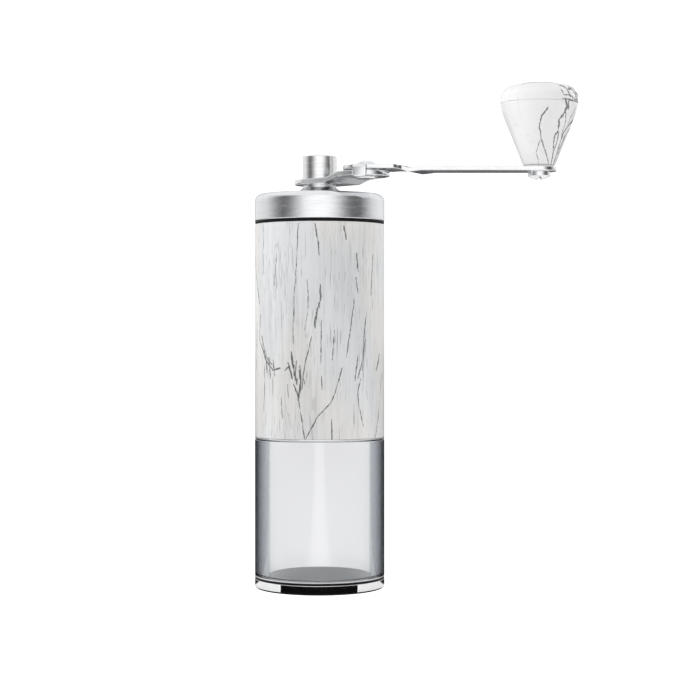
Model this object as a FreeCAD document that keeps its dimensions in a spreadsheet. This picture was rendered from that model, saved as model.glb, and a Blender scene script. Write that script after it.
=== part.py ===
import FreeCAD, Part
import math
import os
import re

import Sketcher

# Hand crank coffee grinder, millimetres, +Z up.
# The origin is on the grinder's axis, in the plane that it stands on.
# +X runs along the crank arm towards the knob, and -Y is the side the arm lies on.

Vector = FreeCAD.Vector
Rotation = FreeCAD.Rotation
doc = FreeCAD.newDocument("HandGrinder")
sheet = doc.addObject("Spreadsheet::Sheet", "Sizes")

# ---------------------------------------------------------------- driving dimensions
# Heights are above the plane the grinder stands on. Each value is a cell with an alias.
DIMENSIONS = {
    "zero": 0.0,
    "body_radius": 25.0,
    "edge_break": 0.3,
    # grounds cup and foot
    "foot_top": 3.6,
    "foot_chamfer": 0.6,
    "foot_spigot_radius": 19.8,
    "foot_spigot_top": 4.6,
    "base_seal_inner": 20.2,
    "base_seal_top": 4.4,
    "floor_radius": 19.5,
    "floor_top": 5.4,
    "cup_bore": 19.9,
    "cup_shoulder": 57.3,
    "cup_neck_radius": 22.45,
    "cup_neck_top": 66.0,
    "cup_groove_floor": 21.2,
    "cup_groove_bottom": 61.2,
    "cup_groove_top": 62.8,
    "ring_section": 0.72,
    # body tube and marble sleeve
    "tube_inner": 22.8,
    "tube_outer": 23.7,
    "tube_bottom": 57.6,
    "flange_top": 58.2,
    "tube_top": 139.6,
    "sleeve_inner": 23.75,
    "sleeve_top": 139.9,
    # drive shaft
    "shaft_radius": 4.0,
    "shaft_bottom": 61.5,
    "shaft_thread_radius": 3.0,
    "shaft_thread_top": 69.4,
    "shaft_flat_half": 3.25,
    "shaft_flat_top": 80.5,
    "shaft_collar_radius": 5.6,
    "shaft_collar_bottom": 123.6,
    "shaft_collar_top": 124.8,
    "shaft_round_top": 136.2,
    "shaft_hex_half": 3.5,
    "shaft_top": 149.6,
    "clip_groove_bottom": 133.3,
    "clip_groove_top": 134.1,
    "clip_groove_radius": 3.4,
    "clip_radius": 6.2,
    # upper bridge
    "bridge_bottom": 126.0,
    "bridge_top": 132.0,
    "bridge_ring_inner": 20.6,
    "bridge_fit_radius": 22.78,
    "bridge_hub_radius": 8.0,
    "bridge_arm_half": 2.2,
    "upper_bushing_radius": 6.0,
    "upper_bushing_bottom": 125.0,
    "upper_bushing_top": 133.0,
    "bushing_flange_radius": 7.2,
    "bushing_bore": 4.05,
    # burr housing
    "housing_bottom": 69.4,
    "housing_top": 98.0,
    "housing_bore": 18.6,
    "housing_shoulder": 88.0,
    "housing_throat": 16.4,
    "housing_throat_top": 90.0,
    "housing_lip": 22.0,
    "housing_hub_radius": 7.6,
    "housing_hub_bottom": 90.2,
    "housing_hub_top": 95.4,
    "housing_arm_half": 1.9,
    "lower_bushing_radius": 5.6,
    "lower_bushing_bottom": 89.6,
    "lower_bushing_top": 96.2,
    # burrs
    "burr_bottom": 70.0,
    "burr_waist": 75.0,
    "inner_burr_top": 86.0,
    "inner_burr_base_radius": 14.2,
    "inner_burr_waist_radius": 13.4,
    "inner_burr_top_radius": 10.0,
    "inner_burr_bore": 8.0,
    "outer_burr_radius": 18.55,
    "outer_burr_base_bore": 14.6,
    "outer_burr_waist_bore": 13.8,
    "outer_burr_top_bore": 13.2,
    "inner_flute_count": 10,
    "outer_flute_count": 14,
    "flute_depth": 1.3,
    "flute_half": 1.5,
    "flute_lean": 24.0,
    # burr core, spring, dial
    "core_radius": 7.98,
    "core_flange_radius": 10.8,
    "core_bottom": 69.4,
    "core_top": 85.4,
    "core_bore": 4.06,
    "core_flat_half": 3.3,
    "core_recess_radius": 6.7,
    "core_recess_floor": 81.0,
    "spring_radius": 5.35,
    "spring_wire": 0.5,
    "spring_turns": 5.0,
    "spring_top": 88.8,
    "washer_top": 89.4,
    "spring_washer_radius": 6.4,
    "spring_washer_bore": 4.06,
    "dial_bottom": 63.8,
    "dial_top": 69.3,
    "dial_radius": 12.0,
    "dial_hub_radius": 6.0,
    "dial_rim_bottom": 65.4,
    "dial_bore": 3.06,
    "dial_scallop_radius": 1.6,
    "dial_scallop_count": 12,
    # ring that holds the outer burr, and its screws
    "ring_bottom": 67.2,
    "ring_inner": 15.4,
    "ring_outer": 22.7,
    "ring_screw_circle": 20.6,
    "ring_screw_count": 3,
    "ring_screw_radius": 0.9,
    "ring_screw_head": 1.6,
    "ring_screw_seat": 68.3,
    "ring_screw_top": 74.4,
    # lid
    "gasket_bottom": 140.2,
    "gasket_top": 141.1,
    "lid_top": 151.4,
    "lid_edge": 2.6,
    "lid_skirt_inner": 23.0,
    "lid_plate_bottom": 148.9,
    "lid_bore": 8.05,
    "insert_neck_radius": 22.4,
    "insert_bottom": 133.6,
    "insert_inner": 20.4,
    "insert_plate_bottom": 146.9,
    "insert_groove_floor": 21.1,
    "insert_groove_bottom": 136.0,
    "insert_groove_top": 137.6,
    "seal_section": 0.75,
    "lid_bushing_radius": 8.0,
    "lid_bushing_flange": 10.0,
    "lid_bushing_bottom": 145.4,
    "lid_bushing_top": 151.2,
    "lid_bushing_bore": 6.55,
    # crank hub, bracket and thumb nut
    "hub_journal_radius": 6.5,
    "hub_bottom": 138.0,
    "hub_socket_half": 3.56,
    "hub_socket_top": 150.2,
    "hub_clip_bottom": 144.2,
    "hub_clip_top": 145.0,
    "hub_clip_groove": 5.7,
    "hub_clip_radius": 8.4,
    "collar_bottom": 151.65,
    "collar_top": 155.0,
    "collar_foot_radius": 8.9,
    "collar_neck_radius": 6.35,
    "tang_radius": 4.6,
    "tang_flat_half": 3.6,
    "tang_top": 156.8,
    "stud_radius": 2.75,
    "stud_top": 166.2,
    "stud_dome": 0.55,
    "plate_thickness": 1.9,
    "bracket_angle": -44.0,
    "bracket_end_radius": 9.5,
    "bracket_length": 24.75,
    "bracket_boss_radius": 8.8,
    "bracket_shoulder": 1.9,
    "joggle_start": 12.4,
    "joggle_end": 18.5,
    "nut_radius": 6.6,
    "nut_top": 166.2,
    "nut_edge": 0.5,
    # pivot
    "rivet_radius": 3.0,
    "rivet_foot_radius": 4.3,
    "rivet_foot": 0.8,
    "rivet_head_radius": 3.6,
    "rivet_dome": 1.75,
    "pivot_washer_radius": 6.0,
    "pivot_washer": 0.55,
    "pivot_play": 0.05,
    # arm
    "arm_thickness": 1.6,
    "arm_boss_radius": 8.8,
    "arm_half_width": 6.5,
    "arm_length": 65.1,
    "arm_neck": 11.6,
    "arm_bore": 3.05,
    "arm_step_start": 15.0,
    "arm_step_low": 18.4,
    "arm_step_end": 23.4,
    "arm_drop": 0.55,
    "arm_dip": 0.6,
    "arm_step_skew": 24.8,
    "tab_angle": 255.0,
    "tab_inner": 9.15,
    "tab_root": 6.5,
    "tab_thickness": 1.6,
    "tab_half_width": 2.6,
    "tab_bottom": 156.2,
    "tab_bend": 1.4,
    # knob
    "screw_hole": 2.1,
    "screw_radius": 2.0,
    "screw_head_radius": 4.25,
    "screw_head_side": 157.2,
    "screw_head_bottom": 156.0,
    "screw_crown_radius": 1.9,
    "screw_slot_half": 0.5,
    "screw_slot": 0.8,
    "screw_top": 172.0,
    "spindle_radius": 4.0,
    "spindle_bore_top": 173.0,
    "spindle_head_bottom": 180.0,
    "spindle_head_top": 181.4,
    "spindle_head_radius": 5.6,
    "knob_washer_radius": 5.6,
    "knob_washer_bore": 4.05,
    "knob_washer_top": 160.9,
    "knob_bottom": 161.0,
    "knob_foot_radius": 5.95,
    "knob_foot_edge": 0.9,
    "knob_flare_height": 180.3,
    "knob_flare_radius": 13.7,
    "knob_flare_blend": 9.0,
    "knob_radius": 14.7,
    "knob_seam": 184.3,
    "knob_bore": 4.06,
    "knob_recess_floor": 179.7,
    "knob_recess": 10.0,
    "knob_plug": 9.95,
    "knob_plug_inner": 8.2,
    "knob_plug_bottom": 182.0,
    "cap_side_top": 187.6,
    "cap_shoulder_radius": 12.4,
    "cap_shoulder_height": 190.5,
    "cap_edge": 3.2,
    "knob_top": 192.3,
}

for row, (alias, value) in enumerate(DIMENSIONS.items(), start=1):
    sheet.set(f"A{row}", alias.replace("_", " "))
    sheet.set(f"B{row}", str(value))
    sheet.setAlias(f"B{row}", alias)
doc.recompute()

SUBPARTS = []


# ---------------------------------------------------------------- helpers
def bound(text):
    """The text of a formula on plain aliases, with each alias read from the sheet."""
    return re.sub(r"[a-z_]{3,}", lambda word: "Sizes." + word.group(), text)


def number(text):
    """The value of a formula made of +, -, * and / on aliases and numbers."""
    total = 0.0
    for sign, term in re.findall(r"([+-]?)\s*([^+-]+)", text):
        product = 1.0
        for operator, factor in re.findall(r"([*/]?)\s*([a-z_0-9.]+)", term):
            value = DIMENSIONS[factor] if factor in DIMENSIONS else float(factor)
            product = product / value if operator == "/" else product * value
        total += -product if sign == "-" else product
    return total


def minus(text):
    """The negative of a formula that is a sum."""
    return "zero - " + text.replace("+", "@").replace("-", "+").replace("@", "-")


def drive(thing, **formulas):
    """Binds properties of a feature to the sheet; a double underscore stands for a dot."""
    for name, text in formulas.items():
        thing.setExpression(name.replace("__", "."), bound(text))


def new_body(name, is_node=True):
    """A part design body that becomes the node of this name, or a step towards one."""
    body = doc.addObject("PartDesign::Body", "Body_" + name)
    body.Label = name
    if is_node:
        SUBPARTS.append(body)
    return body


def new_sketch(body, name, role, height=None, turn=None):
    """A sketch on one of the body's own origin planes, raised and turned if asked."""
    sketch = body.newObject("Sketcher::SketchObject", body.Label + "_" + name)
    plane = next(item for item in body.Origin.OriginFeatures if item.Role == role)
    sketch.AttachmentSupport = [(plane, "")]
    sketch.MapMode = "FlatFace"
    if height:
        drive(sketch, AttachmentOffset__Base__z=height)
    if turn:
        sketch.AttachmentOffset = FreeCAD.Placement(Vector(0, 0, 0), Rotation(Vector(0, 0, 1), 1))
        drive(sketch, AttachmentOffset__Rotation__Angle=turn)
    return sketch


def fix_point(sketch, geometry, end, across, along):
    """Holds one point of a sketch at two formulas measured from the sketch's origin."""
    for kind, text in (("DistanceX", across), ("DistanceY", along)):
        rule = Sketcher.Constraint(kind, -1, 1, geometry, end, number(text))
        index = sketch.addConstraint(rule)
        sketch.renameConstraint(index, f"{kind}_{geometry}_{end}")
        sketch.setExpression(f"Constraints.{kind}_{geometry}_{end}", bound(text))


def polygon(sketch, points):
    """A closed outline of straight edges through points given as pairs of formulas."""
    first = sketch.GeometryCount
    places = [Vector(number(across), number(along), 0) for across, along in points]
    count = len(points)
    for index in range(count):
        edge = Part.LineSegment(places[index], places[(index + 1) % count])
        sketch.addGeometry(edge, False)
    for index, (across, along) in enumerate(points):
        following = first + (index + 1) % count
        sketch.addConstraint(Sketcher.Constraint("Coincident", first + index, 2, following, 1))
        fix_point(sketch, first + index, 1, across, along)


def circle(sketch, radius, across="zero", along="zero"):
    """A circle whose centre and radius are formulas."""
    centre = Vector(number(across), number(along), 0)
    index = sketch.addGeometry(Part.Circle(centre, Vector(0, 0, 1), number(radius)), False)
    fix_point(sketch, index, 3, across, along)
    rule = sketch.addConstraint(Sketcher.Constraint("Radius", index, number(radius)))
    sketch.renameConstraint(rule, f"Radius_{index}")
    sketch.setExpression(f"Constraints.Radius_{index}", bound(radius))


def rectangle(sketch, left, right, low, high):
    """A rectangle between four formulas."""
    polygon(sketch, [(left, low), (right, low), (right, high), (left, high)])


def pad(body, sketch, name, height, middle=False):
    """A pad of a sketch, along its normal or to both sides."""
    feature = body.newObject("PartDesign::Pad", body.Label + "_" + name)
    feature.Profile = sketch
    feature.SideType = "Symmetric" if middle else "One side"
    drive(feature, Length=height)
    doc.recompute()
    return feature


def pocket(body, sketch, name, depth=None, upwards=False, middle=False):
    """A pocket of a sketch; without a depth it goes through everything. It must remove something."""
    before = body.Shape.Volume
    feature = body.newObject("PartDesign::Pocket", body.Label + "_" + name)
    feature.Profile = sketch
    feature.SideType = "Symmetric" if middle else "One side"
    if depth:
        drive(feature, Length=depth)
    else:
        feature.Type = "ThroughAll"
    feature.Reversed = upwards
    doc.recompute()
    if body.Shape.Volume >= before - 1e-6:
        raise RuntimeError(f"{feature.Name} removes nothing")
    return feature


def turned(name, points):
    """A body turned about the vertical axis from an outline of (radius, height) formulas."""
    body = new_body(name)
    sketch = new_sketch(body, "outline", "XZ_Plane")
    polygon(sketch, points)
    revolution = body.newObject("PartDesign::Revolution", name + "_turned")
    revolution.Profile = sketch
    revolution.ReferenceAxis = (sketch, ["V_Axis"])
    revolution.Angle = 360
    doc.recompute()
    return body


def tube(name, inner, outer, low, high):
    """A plain turned ring between two radii and two heights."""
    return turned(name, [(inner, low), (outer, low), (outer, high), (inner, high)])


def rims(body, radius, height):
    """The names of the round edges of this radius at this height."""
    found = []
    for index, edge in enumerate(body.Shape.Edges, start=1):
        round_edge = hasattr(edge.Curve, "Radius") and abs(edge.Curve.Radius - number(radius)) < 1e-4
        if round_edge and abs(edge.BoundBox.Center.z - number(height)) < 1e-4:
            found.append(f"Edge{index}")
    if not found:
        raise RuntimeError(f"{body.Label} has no rim of {radius} at {height}")
    return found


def dress(body, kind, name, edges, amount):
    """A fillet or a chamfer on named edges of the body's last feature."""
    feature = body.newObject("PartDesign::" + kind, body.Label + "_" + name)
    feature.Base = (body.Tip if body.Tip != feature else feature.BaseFeature, edges)
    if kind == "Fillet":
        drive(feature, Radius=amount)
    else:
        drive(feature, Size=amount)
    body.Tip = feature
    doc.recompute()
    return feature


def pattern(body, feature, name, count):
    """Repeats a feature of the body round the vertical axis."""
    polar = body.newObject("PartDesign::PolarPattern", body.Label + "_" + name)
    polar.Originals = [feature]
    axis = next(item for item in body.Origin.OriginFeatures if item.Role == "Z_Axis")
    polar.Axis = (axis, [""])
    polar.Angle = 360
    drive(polar, Occurrences=count)
    body.Tip = polar
    doc.recompute()
    return polar


def place(body, across, along, turn=None):
    """Sets a body's place in the plane by formulas, and its turn about the vertical."""
    body.Placement = FreeCAD.Placement(Vector(0, 0, 0), Rotation(Vector(0, 0, 1), 1 if turn else 0))
    drive(body, Placement__Base__x=across, Placement__Base__y=along)
    if turn:
        drive(body, Placement__Rotation__Angle=turn)


def hexagon(sketch, half):
    """A regular hexagon of this half width across its flats."""
    corner = half + " * 1.154701"
    middle = half + " * 0.577350"
    polygon(
        sketch,
        [
            (corner, "zero"),
            (middle, half),
            (minus(middle), half),
            (minus(corner), "zero"),
            (minus(middle), minus(half)),
            (middle, minus(half)),
        ],
    )


def cut_flats(body, name, half, reach, low, high):
    """Two parallel flats cut on a round part, at plus and minus half along Y."""
    sketch = new_sketch(body, name + "_sketch", "XY_Plane", height=low)
    rectangle(sketch, minus(reach), reach, half, reach)
    rectangle(sketch, minus(reach), reach, minus(reach), minus(half))
    return pocket(body, sketch, name, depth=high + " - " + low, upwards=True)


def flutes(body, low, low_radius, high, high_radius, count, inward):
    """Leaning V grooves cut round a cone and repeated; inward points them at the axis."""
    sign = " - " if inward else " + "
    away = " + " if inward else " - "
    sections = []
    for name, height, radius, turn in (
        ("foot", low, low_radius, "zero"),
        ("head", high, high_radius, "flute_lean"),
    ):
        turned_by = turn if turn != "zero" else None
        sketch = new_sketch(body, "flute_" + name, "XY_Plane", height=height, turn=turned_by)
        tip = radius + sign + "flute_depth"
        open_side = radius + away + "flute_depth"
        polygon(
            sketch,
            [(tip, "zero"), (open_side, "flute_half"), (open_side, "zero - flute_half")],
        )
        sections.append(sketch)
    doc.recompute()
    before = body.Shape.Volume
    cut = body.newObject("PartDesign::SubtractiveLoft", body.Label + "_flute")
    cut.Profile = sections[0]
    cut.Sections = [sections[1]]
    doc.recompute()
    if body.Shape.Volume >= before - 1e-6:
        raise RuntimeError(f"{cut.Name} removes nothing")
    return pattern(body, cut, "flutes", count)


def ring(name, centre_radius, section, height):
    """A round rubber ring as a torus at a height."""
    torus = doc.addObject("Part::Torus", "Torus_" + name)
    torus.Label = name
    drive(torus, Radius1=centre_radius, Radius2=section, Placement__Base__z=height)
    SUBPARTS.append(torus)
    return torus


# ---------------------------------------------------------------- grounds cup
def build_cup():
    foot = turned(
        "foot_cap",
        [
            ("zero", "zero"),
            ("body_radius", "zero"),
            ("body_radius", "foot_top"),
            ("foot_spigot_radius", "foot_top"),
            ("foot_spigot_radius", "foot_spigot_top"),
            ("zero", "foot_spigot_top"),
        ],
    )
    dress(foot, "Chamfer", "chamfer", rims(foot, "body_radius", "zero"), "foot_chamfer")
    tube("base_seal_ring", "base_seal_inner", "body_radius", "foot_top", "base_seal_top")
    floor = turned(
        "cup_floor_disc",
        [
            ("zero", "foot_spigot_top"),
            ("floor_radius", "foot_spigot_top"),
            ("floor_radius", "floor_top"),
            ("zero", "floor_top"),
        ],
    )
    dress(floor, "Chamfer", "rim", rims(floor, "floor_radius", "floor_top"), "edge_break")
    cup = turned(
        "clear_cup",
        [
            ("cup_bore", "base_seal_top"),
            ("body_radius", "base_seal_top"),
            ("body_radius", "cup_shoulder"),
            ("cup_neck_radius", "cup_shoulder"),
            ("cup_neck_radius", "cup_groove_bottom"),
            ("cup_groove_floor", "cup_groove_bottom"),
            ("cup_groove_floor", "cup_groove_top"),
            ("cup_neck_radius", "cup_groove_top"),
            ("cup_neck_radius", "cup_neck_top"),
            ("cup_bore", "cup_neck_top"),
        ],
    )
    edges = rims(cup, "body_radius", "base_seal_top") + rims(cup, "cup_neck_radius", "cup_neck_top")
    dress(cup, "Chamfer", "edges", edges, "edge_break")
    ring(
        "cup_o_ring",
        "cup_groove_floor + ring_section",
        "ring_section",
        "cup_groove_bottom / 2 + cup_groove_top / 2",
    )


# ---------------------------------------------------------------- body
def build_body():
    turned(
        "body_tube",
        [
            ("tube_inner", "tube_bottom"),
            ("body_radius", "tube_bottom"),
            ("body_radius", "flange_top"),
            ("tube_outer", "flange_top"),
            ("tube_outer", "tube_top"),
            ("tube_inner", "tube_top"),
        ],
    )
    sleeve = tube("marble_sleeve", "sleeve_inner", "body_radius", "flange_top", "sleeve_top")
    edges = rims(sleeve, "body_radius", "flange_top") + rims(sleeve, "body_radius", "sleeve_top")
    dress(sleeve, "Fillet", "edges", edges, "edge_break")


def spider(name, low, high, bore, hub, arm_half, arm_reach, body):
    """Three arms and a hub added inside a turned ring, with the hub bored."""
    for index in range(3):
        sketch = new_sketch(body, f"arm_{index}", "XY_Plane", height=low, turn=f"60 + 120 * {index}")
        rectangle(sketch, "zero", arm_reach, minus(arm_half), arm_half)
        pad(body, sketch, f"arm_pad_{index}", high + " - " + low)
    sketch = new_sketch(body, "hub", "XY_Plane", height=low)
    circle(sketch, hub)
    pad(body, sketch, "hub_pad", high + " - " + low)
    sketch = new_sketch(body, "bore", "XY_Plane", height=low)
    circle(sketch, bore)
    pocket(body, sketch, name + "_bore", depth=high + " - " + low, upwards=True)


def build_bridge():
    bridge = tube("upper_bridge", "bridge_ring_inner", "bridge_fit_radius", "bridge_bottom", "bridge_top")
    spider(
        "bridge",
        "bridge_bottom",
        "bridge_top",
        "upper_bushing_radius",
        "bridge_hub_radius",
        "bridge_arm_half",
        "bridge_ring_inner + edge_break",
        bridge,
    )
    turned(
        "upper_bushing",
        [
            ("bushing_bore", "upper_bushing_bottom"),
            ("bushing_flange_radius", "upper_bushing_bottom"),
            ("bushing_flange_radius", "bridge_bottom"),
            ("upper_bushing_radius", "bridge_bottom"),
            ("upper_bushing_radius", "upper_bushing_top"),
            ("bushing_bore", "upper_bushing_top"),
        ],
    )


def build_housing():
    housing = turned(
        "burr_housing",
        [
            ("housing_bore", "housing_bottom"),
            ("bridge_fit_radius", "housing_bottom"),
            ("bridge_fit_radius", "housing_top"),
            ("housing_lip", "housing_top"),
            ("housing_throat", "housing_throat_top"),
            ("housing_throat", "housing_shoulder"),
            ("housing_bore", "housing_shoulder"),
        ],
    )
    spider(
        "housing",
        "housing_hub_bottom",
        "housing_hub_top",
        "lower_bushing_radius",
        "housing_hub_radius",
        "housing_arm_half",
        "housing_throat + edge_break",
        housing,
    )
    holes = new_sketch(housing, "screw_hole", "XY_Plane", height="housing_bottom")
    circle(holes, "ring_screw_radius", across="ring_screw_circle")
    depth = "ring_screw_top - housing_bottom"
    hole = pocket(housing, holes, "screw_hole_cut", depth=depth, upwards=True)
    pattern(housing, hole, "screw_holes", "ring_screw_count")
    tube("lower_bushing", "bushing_bore", "lower_bushing_radius", "lower_bushing_bottom", "lower_bushing_top")


def build_burrs():
    outer = turned(
        "outer_burr",
        [
            ("outer_burr_base_bore", "housing_bottom"),
            ("outer_burr_radius", "housing_bottom"),
            ("outer_burr_radius", "housing_shoulder"),
            ("outer_burr_top_bore", "housing_shoulder"),
            ("outer_burr_waist_bore", "burr_waist"),
        ],
    )
    flutes(
        outer,
        "burr_waist",
        "outer_burr_waist_bore - edge_break",
        "housing_shoulder + edge_break",
        "outer_burr_top_bore + flute_depth",
        "outer_flute_count",
        inward=False,
    )
    inner = turned(
        "inner_burr",
        [
            ("inner_burr_bore", "burr_bottom"),
            ("inner_burr_base_radius", "burr_bottom"),
            ("inner_burr_waist_radius", "burr_waist"),
            ("inner_burr_top_radius", "inner_burr_top"),
            ("inner_burr_bore", "inner_burr_top"),
        ],
    )
    flutes(
        inner,
        "burr_waist",
        "inner_burr_waist_radius + flute_depth / 2",
        "inner_burr_top",
        "inner_burr_top_radius + flute_depth / 4",
        "inner_flute_count",
        inward=True,
    )
    core = turned(
        "burr_core",
        [
            ("core_bore", "core_bottom"),
            ("core_flange_radius", "core_bottom"),
            ("core_flange_radius", "burr_bottom"),
            ("core_radius", "burr_bottom"),
            ("core_radius", "core_top"),
            ("core_recess_radius", "core_top"),
            ("core_recess_radius", "core_recess_floor"),
            ("core_bore", "core_recess_floor"),
        ],
    )
    for side, low, high in (
        ("left", "core_flat_half", "core_bore + edge_break"),
        ("right", "zero - core_bore - edge_break", "zero - core_flat_half"),
    ):
        key = new_sketch(core, "key_" + side, "XY_Plane", height="core_bottom")
        rectangle(key, "zero - core_flat_half", "core_flat_half", low, high)
        pad(core, key, "key_pad_" + side, "core_recess_floor - core_bottom - edge_break * 2")
    dial = turned(
        "adjusting_dial",
        [
            ("dial_bore", "dial_bottom"),
            ("dial_hub_radius", "dial_bottom"),
            ("dial_hub_radius", "dial_rim_bottom"),
            ("dial_radius", "dial_rim_bottom"),
            ("dial_radius", "dial_top"),
            ("dial_bore", "dial_top"),
        ],
    )
    scallop = new_sketch(dial, "scallop", "XY_Plane", height="dial_rim_bottom")
    circle(scallop, "dial_scallop_radius", across="dial_radius + dial_scallop_radius / 3")
    cut = pocket(dial, scallop, "scallop_cut", depth="dial_top - dial_rim_bottom", upwards=True)
    pattern(dial, cut, "scallops", "dial_scallop_count")


def build_burr_ring():
    holder = tube("burr_retaining_ring", "ring_inner", "ring_outer", "ring_bottom", "housing_bottom")
    sketch = new_sketch(holder, "hole", "XY_Plane", height="ring_bottom")
    circle(sketch, "ring_screw_radius", across="ring_screw_circle")
    depth = "housing_bottom - ring_bottom"
    hole = pocket(holder, sketch, "hole_cut", depth=depth, upwards=True)
    pattern(holder, hole, "holes", "ring_screw_count")
    sketch = new_sketch(holder, "seat", "XY_Plane", height="ring_bottom")
    circle(sketch, "ring_screw_head", across="ring_screw_circle")
    depth = "ring_screw_seat - ring_bottom"
    seat = pocket(holder, sketch, "seat_cut", depth=depth, upwards=True)
    pattern(holder, seat, "seats", "ring_screw_count")

    screws = []
    for index in range(int(DIMENSIONS["ring_screw_count"])):
        head = doc.addObject("Part::Cylinder", f"ring_screw_head_{index}")
        drive(head, Radius="ring_screw_head", Height="ring_screw_seat - ring_bottom")
        shank = doc.addObject("Part::Cylinder", f"ring_screw_shank_{index}")
        drive(shank, Radius="ring_screw_radius", Height="ring_screw_top - ring_screw_seat")
        drive(shank, Placement__Base__z="ring_screw_seat - ring_bottom")
        slot = doc.addObject("Part::Box", f"ring_screw_slot_{index}")
        drive(slot, Length="ring_screw_head * 2", Width="edge_break * 2", Height="edge_break * 2")
        drive(slot, Placement__Base__x="zero - ring_screw_head", Placement__Base__y="zero - edge_break")
        whole = doc.addObject("Part::Fuse", f"ring_screw_whole_{index}")
        whole.Base = head
        whole.Tool = shank
        screw = doc.addObject("Part::Cut", f"ring_screw_{index}")
        screw.Base = whole
        screw.Tool = slot
        turn = math.radians(index * 360 / DIMENSIONS["ring_screw_count"])
        screw.Placement = FreeCAD.Placement(Vector(0, 0, 0), Rotation(Vector(0, 0, 1), 0))
        drive(
            screw,
            Placement__Base__x=f"ring_screw_circle * {math.cos(turn):.9f}",
            Placement__Base__y=f"ring_screw_circle * {math.sin(turn):.9f}",
            Placement__Base__z="ring_bottom",
        )
        screws.append(screw)
    group = doc.addObject("Part::Compound", "Ring_screws")
    group.Links = screws
    group.Label = "burr_ring_screws"
    SUBPARTS.append(group)


# ---------------------------------------------------------------- shaft
def build_shaft():
    shaft = turned(
        "drive_shaft",
        [
            ("zero", "shaft_bottom"),
            ("shaft_thread_radius", "shaft_bottom"),
            ("shaft_thread_radius", "shaft_thread_top"),
            ("shaft_radius", "shaft_thread_top"),
            ("shaft_radius", "shaft_collar_bottom"),
            ("shaft_collar_radius", "shaft_collar_bottom"),
            ("shaft_collar_radius", "shaft_collar_top"),
            ("shaft_radius", "shaft_collar_top"),
            ("shaft_radius", "clip_groove_bottom"),
            ("clip_groove_radius", "clip_groove_bottom"),
            ("clip_groove_radius", "clip_groove_top"),
            ("shaft_radius", "clip_groove_top"),
            ("shaft_radius", "shaft_round_top"),
            ("zero", "shaft_round_top"),
        ],
    )
    cut_flats(
        shaft, "flats", "shaft_flat_half", "shaft_radius + edge_break", "shaft_thread_top", "shaft_flat_top",
    )
    top = new_sketch(shaft, "hex", "XY_Plane", height="shaft_round_top")
    hexagon(top, "shaft_hex_half")
    pad(shaft, top, "hex_pad", "shaft_top - shaft_round_top")
    dress(shaft, "Chamfer", "tip", rims(shaft, "shaft_thread_radius", "shaft_bottom"), "edge_break")

    clip = tube("shaft_clip", "clip_groove_radius", "clip_radius", "clip_groove_bottom", "clip_groove_top")
    mouth = new_sketch(clip, "mouth", "XY_Plane", height="clip_groove_bottom")
    rectangle(
        mouth, "zero", "clip_radius + edge_break", "zero - clip_groove_radius / 2", "clip_groove_radius / 2",
    )
    pocket(clip, mouth, "mouth_cut", depth="clip_groove_top - clip_groove_bottom", upwards=True)
    tube("spring_washer", "spring_washer_bore", "spring_washer_radius", "spring_top", "washer_top")


def build_spring():
    """The coil spring that presses the burr down on the dial."""
    wire_room = DIMENSIONS["spring_wire"] + DIMENSIONS["edge_break"] / 2
    low = DIMENSIONS["core_recess_floor"] + wire_room
    high = DIMENSIONS["spring_top"] - wire_room
    radius = DIMENSIONS["spring_radius"]
    helix = Part.makeLongHelix((high - low) / DIMENSIONS["spring_turns"], high - low, radius)
    section = Part.Wire(Part.makeCircle(DIMENSIONS["spring_wire"], Vector(radius, 0, 0), Vector(0, 1, 0)))
    spring = doc.addObject("Part::Feature", "Coil_spring")
    spring.Shape = Part.Wire(helix).makePipeShell([section], True, True)
    spring.Placement = FreeCAD.Placement(Vector(0, 0, low), Rotation())
    spring.Label = "burr_spring"
    SUBPARTS.append(spring)


# ---------------------------------------------------------------- lid
def build_lid():
    shell = turned(
        "lid_shell",
        [
            ("lid_skirt_inner", "gasket_top"),
            ("body_radius", "gasket_top"),
            ("body_radius", "lid_top"),
            ("lid_bore", "lid_top"),
            ("lid_bore", "lid_plate_bottom"),
            ("lid_skirt_inner", "lid_plate_bottom"),
        ],
    )
    dress(shell, "Fillet", "top_edge", rims(shell, "body_radius", "lid_top"), "lid_edge")
    dress(shell, "Fillet", "low_edge", rims(shell, "body_radius", "gasket_top"), "edge_break")
    turned(
        "lid_insert",
        [
            ("insert_inner", "insert_bottom"),
            ("insert_neck_radius", "insert_bottom"),
            ("insert_neck_radius", "insert_groove_bottom"),
            ("insert_groove_floor", "insert_groove_bottom"),
            ("insert_groove_floor", "insert_groove_top"),
            ("insert_neck_radius", "insert_groove_top"),
            ("insert_neck_radius", "gasket_top"),
            ("lid_skirt_inner", "gasket_top"),
            ("lid_skirt_inner", "lid_plate_bottom"),
            ("lid_bore", "lid_plate_bottom"),
            ("lid_bore", "insert_plate_bottom"),
            ("insert_inner", "insert_plate_bottom"),
        ],
    )
    tube("lid_gasket", "insert_neck_radius", "body_radius", "gasket_bottom", "gasket_top")
    ring(
        "lid_seal",
        "insert_groove_floor + seal_section",
        "seal_section",
        "insert_groove_bottom / 2 + insert_groove_top / 2",
    )
    turned(
        "lid_bushing",
        [
            ("lid_bushing_bore", "lid_bushing_bottom"),
            ("lid_bushing_flange", "lid_bushing_bottom"),
            ("lid_bushing_flange", "insert_plate_bottom"),
            ("lid_bushing_radius", "insert_plate_bottom"),
            ("lid_bushing_radius", "lid_bushing_top"),
            ("lid_bushing_bore", "lid_bushing_top"),
        ],
    )


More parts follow.
